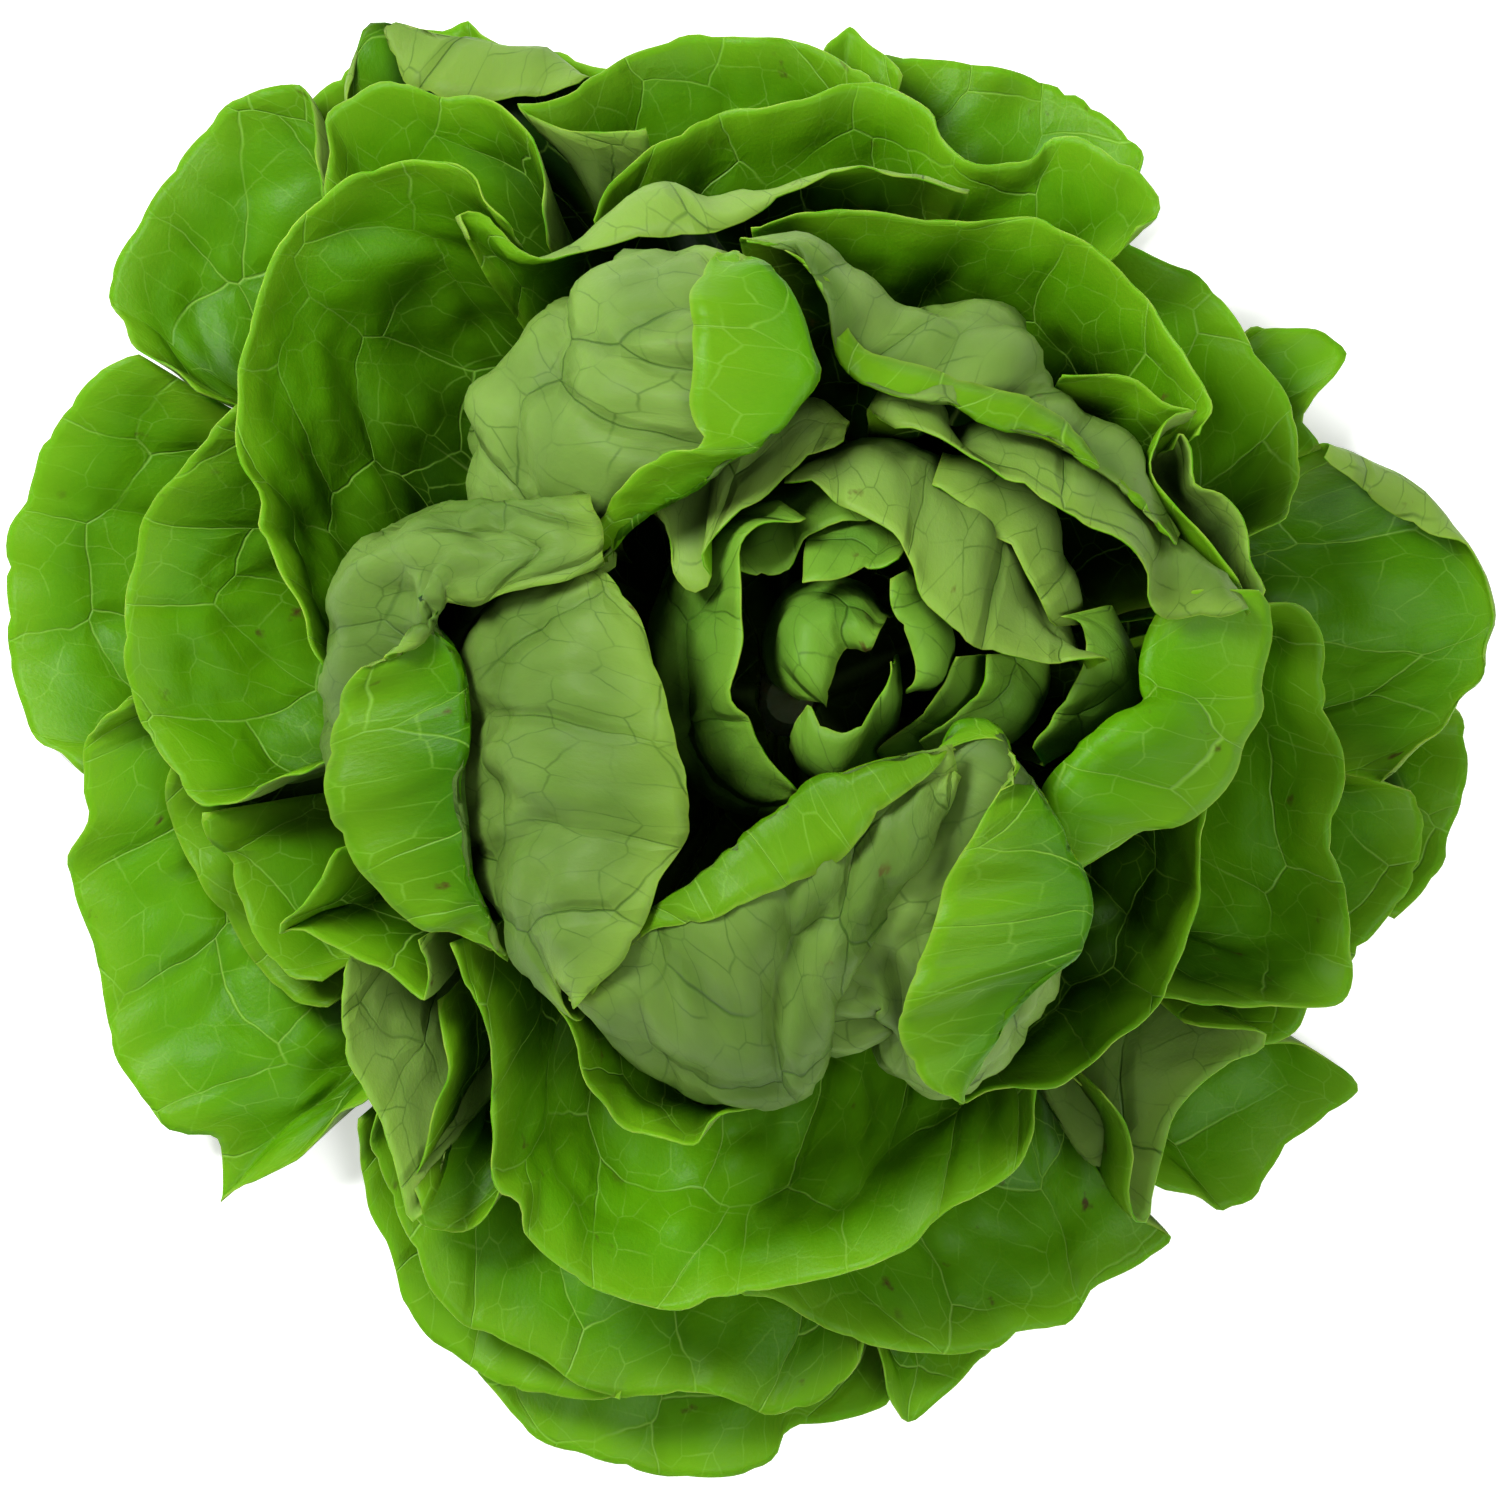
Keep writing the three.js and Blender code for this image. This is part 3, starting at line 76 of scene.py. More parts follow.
# The leaves from the outermost to the innermost. A leaf's rows are points [plan x, plan y, height in
# mm] across it, and run round the stem against the clock. The last row is its margin. The rows before
# it, where a leaf has them, are its hip, its dome and the crest that its margin is rolled over. A leaf
# that lies with its underside up is listed the other way round.
LEAVES: list[dict[str, Any]] = [
  { "name": "back_leaf_lower_right", "rows": [
    [[1160, 1190, 11], [1195, 1200, 7], [1215, 1217, 3], [1245, 1210, 2], [1290, 1150, 1],
      [1355, 1100, 2], [1363, 1092, 4], [1330, 1055, 8], [1290, 1045, 11], [1255, 1050, 15]]] },
  { "name": "back_leaf_far_left", "rows": [
    [[135, 350, 14], [100, 365, 12], [60, 410, 8], [35, 450, 5], [22, 495, 3], [5, 525, 2], [2, 600, 1],
      [5, 660, 2], [15, 700, 4], [35, 745, 7], [60, 760, 9], [85, 780, 12]]] },
  { "name": "back_leaf_top_right", "rows": [
    [[1150, 170, 14], [1145, 150, 11], [1110, 115, 7], [1090, 98, 5], [1040, 75, 3], [1000, 62, 2],
      [960, 57, 1], [905, 52, 3], [880, 50, 6], [860, 62, 10]]] },
  { "name": "back_leaf_bottom", "rows": [
    [[470, 1370, 11], [495, 1400, 8], [530, 1440, 4], [600, 1465, 2], [690, 1483, 1], [770, 1465, 2],
      [782, 1440, 4], [840, 1425, 6], [895, 1405, 9], [905, 1385, 12]]] },
  { "name": "back_leaf_far_right", "rows": [
    [[1400, 915, 12], [1430, 890, 7], [1450, 860, 4], [1455, 830, 3], [1468, 800, 2], [1472, 750, 1],
      [1465, 710, 4], [1445, 690, 9]]] },
  { "name": "back_leaf_top", "rows": [
    [[640, 66, 14], [600, 62, 10], [560, 47, 6], [500, 38, 4], [485, 30, 3], [467, 15, 1], [450, 23, 2],
      [410, 28, 5], [385, 45, 10]]] },
  { "name": "back_leaf_tip_lower", "rows": [
    [[870, 1350, 18], [890, 1400, 13], [910, 1427, 10], [945, 1400, 11], [985, 1362, 14],
      [1010, 1345, 18]]] },
  { "name": "back_leaf_upper_left", "rows": [
    [[380, 45, 12], [345, 65, 9], [320, 85, 6], [303, 105, 4], [300, 135, 4], [303, 165, 6],
      [312, 205, 10]]] },
  { "name": "outer_leaf_bottom_low", "rows": [
    [[350, 1115, 22], [360, 1165, 17], [362, 1200, 14], [390, 1265, 10], [400, 1300, 9], [430, 1345, 8],
      [460, 1365, 8], [500, 1390, 10], [560, 1400, 13], [620, 1402, 18]]] },
  { "name": "back_leaf_tip_top", "rows": [
    [[905, 66, 18], [880, 45, 14], [865, 30, 12], [850, 22, 11], [840, 28, 12], [828, 48, 14],
      [818, 68, 17]]] },
  { "name": "outer_leaf_lower_left", "rows": [
    [[135, 690, 25], [100, 710, 20], [82, 740, 16], [80, 790, 12], [83, 820, 10], [62, 860, 7],
      [70, 895, 6], [90, 950, 5], [100, 1000, 6], [112, 1060, 7], [135, 1095, 8], [170, 1135, 8],
      [212, 1140, 8], [222, 1210, 3], [260, 1180, 8], [300, 1150, 14], [330, 1125, 18],
      [372, 1100, 25]]] },
  { "name": "back_leaf_tip_right", "rows": [
    [[1325, 445, 21], [1310, 422, 18], [1340, 370, 13], [1351, 352, 11], [1322, 327, 12], [1290, 325, 13],
      [1250, 325, 17], [1225, 342, 21]]] },
  { "name": "outer_leaf_upper_left", "rows": [
    [[322, 200, 26], [312, 150, 21], [310, 95, 16], [298, 80, 13], [270, 82, 11], [240, 90, 10],
      [190, 140, 8], [140, 210, 7], [105, 295, 8], [118, 322, 11], [130, 350, 15], [160, 367, 20],
      [195, 390, 25]]] },
  { "name": "outer_leaf_right_low", "rows": [
    [[1335, 985, 20], [1385, 930, 13], [1410, 900, 11], [1425, 850, 10], [1427, 820, 11], [1415, 790, 13],
      [1390, 780, 16], [1350, 765, 21]]] },
  { "name": "outer_leaf_bottom", "rows": [
    [[375, 1105, 30], [368, 1140, 28], [380, 1180, 26], [395, 1220, 24], [410, 1250, 23], [430, 1290, 22],
      [450, 1320, 21], [500, 1345, 20], [545, 1365, 19], [575, 1388, 18], [610, 1400, 17],
      [720, 1400, 17], [770, 1418, 16], [830, 1400, 17], [862, 1368, 19], [870, 1345, 22]]] },
  { "name": "outer_leaf_top_folded", "rows": [
    [[585, 78, 27], [550, 62, 22], [500, 50, 18], [470, 45, 16], [430, 30, 14], [390, 18, 12],
      [373, 18, 12], [358, 38, 12], [350, 68, 15], [340, 100, 19]],
    [[578, 82, 28], [540, 95, 26], [500, 98, 24], [440, 93, 21], [404, 80, 19], [390, 48, 16],
      [378, 22, 13], [362, 40, 13], [353, 70, 16], [343, 100, 20]]] },
  { "name": "outer_leaf_far_right", "rows": [
    [[1385, 785, 27], [1420, 750, 22], [1470, 700, 16], [1490, 680, 14], [1492, 650, 12], [1498, 620, 11],
      [1495, 590, 11], [1485, 562, 12], [1450, 525, 15], [1400, 487, 19], [1330, 450, 26]],
    [[1382, 783, 28], [1418, 748, 23], [1468, 700, 17], [1487, 678, 15], [1490, 650, 13], [1495, 620, 12],
      [1492, 590, 12], [1476, 552, 15], [1425, 527, 19], [1380, 502, 22], [1326, 458, 28]]] },
  { "name": "outer_leaf_left_sliver", "rows": [
    [[170, 755, 23], [162, 790, 21], [165, 812, 19], [180, 850, 17], [200, 890, 16], [225, 920, 15],
      [245, 955, 14], [270, 985, 14], [292, 1003, 16], [325, 1010, 20]]] },
  { "name": "outer_leaf_top_back", "rows": [
    [[880, 88, 35], [870, 75, 33], [830, 52, 28], [800, 36, 24], [740, 33, 22], [690, 30, 21],
      [650, 40, 22], [620, 52, 24], [580, 75, 27], [540, 95, 30], [514, 98, 32], [540, 118, 35],
      [600, 133, 38], [645, 128, 41]]] },
  { "name": "outer_leaf_lower_right", "rows": [
    [[735, 1297, 34], [780, 1305, 30], [830, 1335, 26], [870, 1352, 23], [950, 1358, 20], [990, 1355, 18],
      [1030, 1335, 16], [1060, 1333, 15], [1100, 1290, 13], [1150, 1262, 11], [1175, 1240, 10],
      [1150, 1222, 13], [1142, 1180, 16], [1138, 1140, 20], [1110, 1105, 24], [1090, 1080, 27]]] },
  { "name": "outer_leaf_upper_right", "rows": [
    [[1245, 545, 42], [1290, 520, 38], [1298, 500, 35], [1300, 450, 31], [1295, 410, 29], [1280, 380, 28],
      [1260, 350, 27], [1240, 315, 26], [1200, 275, 26], [1150, 250, 27], [1100, 210, 27],
      [1085, 192, 26], [1060, 205, 29], [1040, 225, 34]]] },
  { "name": "outer_leaf_left_flat", "rows": [
    [[192, 812, 30], [205, 840, 28], [225, 857, 26], [235, 890, 25], [250, 935, 24], [270, 965, 23],
      [285, 978, 24], [320, 985, 28]]] },
  { "name": "outer_leaf_small_right", "rows": [
    [[1150, 1045, 34], [1200, 1045, 29], [1265, 1048, 24], [1300, 1030, 22], [1312, 1010, 23],
      [1318, 990, 26]]] },
  { "name": "outer_leaf_top_left", "rows": [
    [[548, 240, 47], [548, 200, 44], [540, 160, 41], [515, 118, 37], [497, 97, 34], [480, 92, 32],
      [440, 93, 30], [385, 78, 28], [350, 92, 26], [325, 112, 26], [322, 145, 28], [322, 195, 33]]] },
  { "name": "outer_leaf_grey_fold", "rows": [
    [[1190, 1028, 39], [1262, 1048, 32], [1235, 1065, 32], [1205, 1090, 32], [1175, 1130, 31],
      [1160, 1170, 30], [1146, 1222, 28], [1133, 1190, 33], [1125, 1130, 38], [1105, 1092, 42]]] },
  { "name": "outer_leaf_left", "rows": [
    [[235, 405, 46], [205, 430, 41], [180, 465, 37], [155, 495, 34], [140, 520, 32], [133, 550, 30],
      [122, 600, 28], [120, 640, 27], [122, 670, 27], [130, 700, 27], [150, 745, 28], [170, 775, 29],
      [200, 808, 31], [235, 800, 35], [270, 785, 40], [330, 760, 48]]] },
  { "name": "outer_leaf_top", "rows": [
    [[1140, 225, 50], [1156, 212, 47], [1158, 195, 46], [1145, 175, 45], [1120, 155, 44], [1100, 140, 43],
      [1080, 133, 43], [1055, 138, 43], [1040, 152, 43], [1000, 160, 43], [965, 155, 43], [950, 140, 42],
      [935, 110, 40], [910, 90, 39], [880, 82, 38], [850, 83, 38], [800, 95, 38], [740, 105, 38],
      [680, 130, 40], [640, 155, 43], [610, 180, 46], [590, 218, 50]]] },
  { "name": "outer_leaf_bottom_small", "rows": [
    [[430, 1095, 38], [418, 1180, 34], [417, 1221, 32], [430, 1232, 31], [455, 1235, 31], [480, 1228, 32],
      [500, 1202, 35], [508, 1165, 38]]] },
  { "name": "outer_leaf_right", "rows": [
    [[1155, 1000, 50], [1200, 1005, 46], [1250, 1010, 42], [1320, 1010, 37], [1345, 1003, 34],
      [1355, 935, 32], [1350, 900, 32], [1336, 850, 33], [1333, 830, 33], [1342, 800, 34],
      [1348, 760, 34], [1340, 730, 35], [1330, 690, 36], [1325, 650, 38], [1315, 615, 41],
      [1290, 597, 44], [1255, 602, 49]]] },
  { "name": "outer_leaf_pale_strip", "rows": [
    [[432, 1003, 46], [440, 1040, 45], [443, 1075, 44], [430, 1110, 43], [425, 1150, 43], [416, 1185, 43],
      [417, 1222, 42], [400, 1185, 42], [380, 1140, 42], [360, 1090, 42], [345, 1040, 42],
      [343, 1000, 43], [352, 955, 46]]] },
  { "name": "outer_leaf_left_lobe", "rows": [
    [[335, 850, 58], [305, 895, 53], [275, 922, 49], [275, 938, 48], [300, 935, 49], [340, 950, 50],
      [380, 965, 51], [427, 1003, 52], [432, 980, 55], [420, 940, 60]]] },
  { "name": "cup_leaf_upper_left", "rows": [
    [[505, 240, 76], [478, 205, 72], [470, 178, 69], [430, 163, 66], [400, 162, 65], [350, 172, 63],
      [310, 210, 61], [270, 260, 60], [245, 330, 59], [236, 400, 59], [240, 460, 60], [255, 505, 61],
      [252, 530, 61], [270, 560, 62], [290, 595, 63], [310, 635, 65], [335, 672, 68]]] },
  { "name": "cup_leaf_bottom", "rows": [
    [[445, 945, 74], [462, 985, 69], [480, 1020, 65], [490, 1055, 61], [492, 1090, 57], [487, 1140, 53],
      [490, 1180, 50], [500, 1197, 49], [515, 1205, 48], [525, 1235, 46], [545, 1260, 44],
      [590, 1290, 43], [640, 1308, 42], [690, 1310, 42], [720, 1297, 43], [740, 1297, 43],
      [800, 1290, 43], [860, 1272, 44], [910, 1250, 45], [945, 1215, 47], [990, 1195, 49],
      [1020, 1165, 51], [1035, 1130, 54], [1040, 1085, 58]]] },
  { "name": "cup_leaf_top", "rows": [
    [[970, 188, 56], [900, 172, 56], [860, 167, 57], [820, 172, 59], [775, 187, 61], [740, 196, 63],
      [712, 206, 64], [690, 198, 64], [640, 200, 64], [602, 220, 65], [580, 240, 66], [555, 243, 67],
      [530, 235, 67], [508, 214, 68], [485, 205, 68], [462, 206, 69], [466, 240, 72]],
    [[968, 192, 58], [900, 175, 58], [860, 171, 59], [822, 177, 62], [782, 194, 66], [755, 216, 69],
      [722, 233, 70], [690, 236, 70], [650, 239, 70], [610, 242, 70], [583, 246, 69], [555, 248, 69],
      [530, 240, 69], [508, 219, 70], [487, 210, 70], [467, 211, 71], [470, 240, 74]]] },
  { "name": "cup_leaf_top_right", "rows": [
    [[1205, 440, 76], [1211, 402, 70], [1200, 385, 68], [1180, 350, 66], [1160, 315, 64], [1140, 285, 62],
      [1110, 255, 61], [1080, 240, 60], [1040, 220, 60], [990, 215, 61], [940, 220, 63], [870, 213, 66],
      [800, 213, 69], [750, 226, 73]]] },
  { "name": "wrap_leaf_left", "rows": [
    [[600, 508, 100], [540, 522, 96], [470, 530, 90], [400, 550, 83], [370, 580, 78], [350, 640, 72],
      [350, 700, 66], [362, 780, 62], [390, 850, 62], [430, 900, 64], [490, 945, 68]],
    [[605, 540, 103], [550, 550, 102], [500, 562, 98], [450, 575, 93], [440, 610, 89], [465, 660, 87],
      [475, 720, 86], [470, 790, 85], [474, 840, 84], [487, 890, 80], [506, 950, 74]],
    [[605, 567, 103], [570, 582, 102], [520, 590, 99], [480, 606, 95], [440, 604, 91], [417, 646, 87],
      [360, 668, 84], [330, 740, 80], [325, 800, 79], [365, 875, 78], [430, 935, 76], [470, 937, 76],
      [508, 962, 74]]] },
  { "name": "cup_leaf_right_strip", "rows": [
    [[1150, 455, 76], [1165, 440, 76], [1190, 460, 73], [1195, 485, 72], [1220, 495, 70], [1245, 530, 69],
      [1245, 560, 70], [1257, 595, 72], [1240, 600, 75]]] },
  { "name": "cup_leaf_right_star", "rows": [
    [[1240, 592, 80], [1200, 541, 80], [1170, 500, 80], [1160, 468, 80], [1167, 440, 79], [1190, 407, 75],
      [1208, 402, 73], [1165, 396, 75], [1130, 381, 77], [1062, 371, 80]]] },
  { "name": "cup_leaf_lower_right", "rows": [
    [[960, 1108, 68], [1000, 1090, 65], [1060, 1085, 63], [1100, 1060, 62], [1135, 1035, 62],
      [1160, 1000, 62], [1180, 960, 63], [1190, 930, 64], [1200, 890, 65], [1205, 850, 67],
      [1208, 812, 70], [1200, 775, 73]]] },
  { "name": "cup_leaf_front", "rows": [
    [[560, 990, 86], [572, 1025, 82], [578, 1060, 78], [590, 1085, 76], [605, 1110, 74], [625, 1130, 72],
      [660, 1140, 71], [700, 1147, 70], [713, 1128, 70], [750, 1110, 69], [790, 1098, 69],
      [832, 1060, 72]]] },
  { "name": "cup_leaf_right_rolled", "rows": [
    [[1070, 866, 74], [1085, 830, 72], [1100, 800, 72], [1130, 770, 72], [1160, 740, 72], [1180, 700, 72],
      [1190, 660, 72], [1200, 620, 76]],
    [[1068, 867, 82], [1057, 832, 86], [1056, 800, 89], [1078, 762, 91], [1105, 732, 91], [1150, 700, 88],
      [1142, 662, 83], [1150, 634, 82], [1168, 614, 84]],
    [[1074, 870, 84], [1110, 850, 82], [1140, 829, 81], [1170, 828, 80], [1215, 800, 78], [1232, 775, 77],
      [1247, 735, 76], [1263, 705, 76], [1262, 680, 77], [1266, 625, 79], [1250, 611, 82]]] },
  { "name": "wrap_leaf_top_right", "rows": [
    [[1172, 540, 74], [1120, 460, 75], [1060, 410, 76], [1022, 385, 77], [1012, 352, 77], [960, 335, 77],
      [885, 325, 77], [850, 290, 78], [800, 256, 79], [740, 243, 79]],
    [[1167, 550, 84], [1130, 508, 87], [1090, 470, 89], [1050, 443, 91], [1000, 427, 92], [950, 403, 92],
      [895, 398, 92], [860, 382, 91], [835, 352, 90], [822, 295, 88], [800, 262, 85], [745, 246, 82]],
    [[1169, 546, 85], [1140, 496, 87], [1102, 465, 88], [1080, 430, 88], [1040, 402, 88], [1000, 390, 89],
      [950, 374, 89], [900, 358, 89], [868, 352, 89], [842, 312, 89], [829, 280, 87], [800, 258, 85],
      [748, 245, 83]]] },
  { "name": "wrap_leaf_upper", "rows": [
    [[720, 262, 78], [690, 255, 77], [650, 262, 76], [610, 288, 76], [565, 325, 76], [520, 365, 75],
      [483, 420, 74], [488, 480, 73], [458, 530, 71]],
    [[740, 300, 96], [690, 320, 96], [640, 360, 96], [600, 410, 95], [565, 455, 92], [545, 500, 88],
      [510, 545, 80]],
    [[735, 250, 92], [765, 265, 98], [800, 330, 104], [809, 372, 106], [785, 428, 106], [740, 465, 105],
      [700, 490, 103], [650, 510, 100], [615, 545, 94], [602, 570, 86]],
    [[712, 252, 91], [690, 290, 101], [692, 330, 106], [694, 362, 108], [690, 402, 109], [700, 447, 109],
      [655, 462, 107], [620, 492, 103], [598, 522, 97], [594, 560, 88]]] },
  { "name": "wrap_leaf_centre_left", "rows": [
    [[560, 585, 84], [495, 605, 78], [468, 655, 75], [482, 720, 74], [480, 780, 74], [488, 850, 74],
      [505, 900, 75], [535, 960, 79], [568, 1020, 84]],
    [[590, 575, 98], [555, 625, 98], [555, 680, 98], [560, 740, 98], [565, 800, 98], [565, 860, 97],
      [562, 920, 94], [560, 975, 90]],
    [[604, 568, 100], [640, 615, 104], [655, 662, 106], [672, 720, 107], [690, 790, 107], [692, 830, 106],
      [660, 877, 103], [615, 922, 99], [570, 990, 92]]] },
  { "name": "wrap_leaf_right", "rows": [
    [[1255, 600, 80], [1235, 588, 80], [1190, 557, 80], [1150, 530, 81], [1105, 482, 82], [1060, 460, 83],
      [1000, 447, 84], [950, 437, 84], [925, 413, 83], [895, 403, 82], [870, 416, 81]],
    [[1250, 608, 85], [1200, 612, 89], [1155, 603, 93], [1146, 585, 94], [1138, 558, 96], [1100, 535, 97],
      [1050, 508, 98], [1020, 492, 97], [975, 466, 95], [935, 438, 92], [900, 430, 89],
      [872, 419, 85]]] },
  { "name": "wrap_leaf_lower_left", "rows": [
    [[572, 1000, 90], [620, 1016, 86], [688, 1033, 84], [742, 1030, 86], [775, 985, 92], [800, 930, 98],
      [850, 870, 102], [900, 810, 105], [945, 755, 106]],
    [[580, 990, 95], [640, 965, 98], [700, 945, 101], [750, 915, 104], [800, 875, 106], [850, 830, 108],
      [900, 785, 109], [948, 750, 108]],
    [[570, 996, 94], [610, 958, 98], [645, 922, 101], [700, 870, 104], [740, 835, 107], [800, 785, 110],
      [870, 755, 112], [950, 742, 110]],
    [[578, 998, 96], [612, 966, 101], [646, 938, 104], [700, 925, 107], [750, 896, 110], [800, 880, 111],
      [850, 850, 113], [880, 810, 114], [920, 780, 114], [952, 747, 111]]] },
  { "name": "heart_leaf_right_dark", "rows": [
    [[1040, 760, 70], [1090, 725, 72], [1114, 695, 74], [1115, 660, 75], [1095, 610, 75]],
    [[1030, 745, 78], [1050, 715, 80], [1060, 685, 81], [1055, 655, 81], [1040, 625, 80]]] },
  { "name": "wrap_leaf_lower_right", "rows": [
    [[745, 1010, 80], [785, 1064, 76], [850, 1046, 77], [893, 1010, 80], [905, 1050, 76], [940, 1085, 74],
      [980, 1060, 74], [1040, 985, 76], [1072, 930, 78]],
    [[770, 955, 92], [820, 960, 94], [865, 940, 96], [910, 925, 98], [950, 930, 98], [990, 920, 98],
      [1030, 880, 98]],
    [[800, 890, 94], [860, 835, 98], [905, 785, 102], [950, 748, 104], [1005, 738, 105], [1038, 775, 105],
      [1058, 830, 105], [1081, 900, 103], [1066, 958, 99], [1000, 1030, 93], [966, 1088, 88]],
    [[815, 900, 97], [870, 848, 101], [912, 795, 104], [955, 755, 106], [1000, 745, 107],
      [1016, 756, 108], [985, 815, 110], [948, 875, 110], [925, 950, 107], [899, 1030, 102],
      [925, 1082, 96], [962, 1104, 90]]] },
  { "name": "heart_leaf_upper_right_back", "rows": [
    [[1065, 640, 77], [1045, 570, 78], [1025, 520, 78], [985, 498, 78], [930, 480, 77]],
    [[1040, 640, 82], [1010, 600, 84], [985, 560, 84], [950, 530, 83], [920, 505, 81]]] },
  { "name": "heart_leaf_top_fold", "rows": [
    [[845, 430, 82], [815, 412, 82], [770, 425, 82], [720, 455, 83], [680, 490, 83], [652, 512, 83]],
    [[840, 440, 86], [800, 468, 91], [780, 488, 93], [740, 520, 95], [712, 542, 96], [702, 560, 96],
      [708, 582, 95], [690, 592, 94], [675, 580, 92], [663, 548, 89], [655, 515, 86]]] },
  { "name": "heart_leaf_left_outer", "rows": [
    [[790, 545, 76], [735, 558, 72], [690, 595, 70], [668, 650, 69], [672, 700, 69], [690, 750, 70],
      [730, 800, 72], [790, 815, 74]],
    [[812, 535, 92], [790, 547, 94], [770, 570, 96], [750, 612, 97], [740, 660, 97], [738, 690, 96],
      [751, 712, 95], [756, 735, 94], [770, 762, 92], [798, 788, 89]]] },
  { "name": "heart_leaf_cap", "rows": [
    [[1110, 655, 83], [1060, 603, 86], [1030, 580, 87], [1000, 545, 88], [985, 512, 88], [950, 478, 87],
      [925, 462, 86], [880, 460, 86], [830, 466, 85], [792, 480, 84]],
    [[1113, 663, 86], [1080, 664, 90], [1040, 662, 93], [1000, 655, 96], [965, 645, 98], [935, 620, 99],
      [915, 590, 100], [908, 560, 100], [898, 540, 99], [880, 527, 98], [850, 515, 96], [820, 495, 92],
      [785, 487, 87]]] },
  { "name": "heart_leaf_low_right_1", "rows": [
    [[925, 745, 74], [975, 735, 72], [1010, 725, 72], [1038, 690, 73], [1042, 655, 75]],
    [[915, 735, 82], [945, 715, 85], [975, 690, 86], [985, 655, 86]]] },
  { "name": "heart_leaf_top_inner", "rows": [
    [[875, 500, 80], [830, 488, 80], [780, 490, 80], [730, 515, 80], [700, 540, 80]],
    [[870, 525, 84], [820, 538, 87], [780, 543, 88], [740, 548, 88], [702, 556, 87]]] },
  { "name": "heart_leaf_low_right_2", "rows": [
    [[880, 760, 76], [925, 752, 74], [975, 725, 74], [985, 690, 76], [985, 655, 78]],
    [[870, 745, 84], [900, 725, 86], [926, 702, 88], [958, 660, 88]]] },
  { "name": "heart_leaf_top_ring", "rows": [
    [[905, 548, 86], [870, 530, 85], [830, 527, 84], [806, 538, 84]],
    [[898, 562, 92], [855, 578, 94], [803, 588, 94]]] },
  { "name": "heart_leaf_right_curl", "rows": [
    [[905, 685, 82], [930, 682, 82], [942, 640, 82], [925, 600, 82], [905, 572, 84]],
    [[908, 686, 88], [929, 675, 91], [931, 642, 93], [912, 608, 93], [899, 575, 91]],
    [[900, 690, 89], [912, 672, 93], [908, 645, 95], [893, 615, 95], [889, 580, 93]]] },
  { "name": "heart_leaf_bottom_curl", "rows": [
    [[795, 740, 78], [815, 775, 77], [845, 790, 77], [880, 755, 78], [892, 700, 80], [893, 658, 84]],
    [[798, 722, 86], [806, 756, 88], [838, 772, 89], [868, 748, 90], [886, 705, 91], [891, 664, 89]],
    [[806, 704, 89], [822, 722, 92], [846, 732, 94], [864, 716, 95], [874, 694, 95], [884, 662, 93]]] },
  { "name": "heart_leaf_innermost", "rows": [
    [[886, 622, 80], [862, 596, 79], [826, 590, 79], [795, 602, 79], [780, 640, 79], [784, 676, 80],
      [800, 698, 82]],
    [[882, 628, 88], [858, 606, 90], [830, 602, 91], [803, 612, 91], [791, 644, 90], [795, 674, 89],
      [808, 696, 88]],
    [[874, 640, 92], [856, 628, 95], [836, 626, 96], [818, 634, 96], [809, 655, 95], [810, 676, 94],
      [818, 698, 91]],
    [[866, 652, 91], [856, 650, 94], [845, 654, 95], [836, 664, 95], [832, 676, 94], [830, 688, 92],
      [826, 704, 89]]] },
]


class Family(Enum):
    """Where in the head a leaf grows: the first word of its name."""

    BACK = "back"
    OUTER = "outer"
    CUP = "cup"
    WRAP = "wrap"
    HEART = "heart"


@dataclass(frozen=True)
class Plan:
    """The plan seen from above: a square with its own units, y downwards, and the stem's place on it."""

    head_across: float = 285.0
    side: float = 1500.0
    stem: tuple[float, float] = (790.0, 700.0)

    @property
    def unit(self) -> float:
        """The length of one unit of the plan, in millimetres."""
        return self.head_across / self.side

    def place(self, points: Sequence[Sequence[float]]) -> np.ndarray:
        """Puts plan points in the part's frame.

        Args:
            points: points as [plan x, plan y, height in mm].

        Returns:
            The points in millimetres, one to a row.
        """
        given = np.array(points, float)
        x = (given[:, 0] - self.stem[0]) * self.unit
        y = (self.stem[1] - given[:, 1]) * self.unit
        return np.stack([x, y, given[:, 2]], axis=1)


PLAN = Plan()


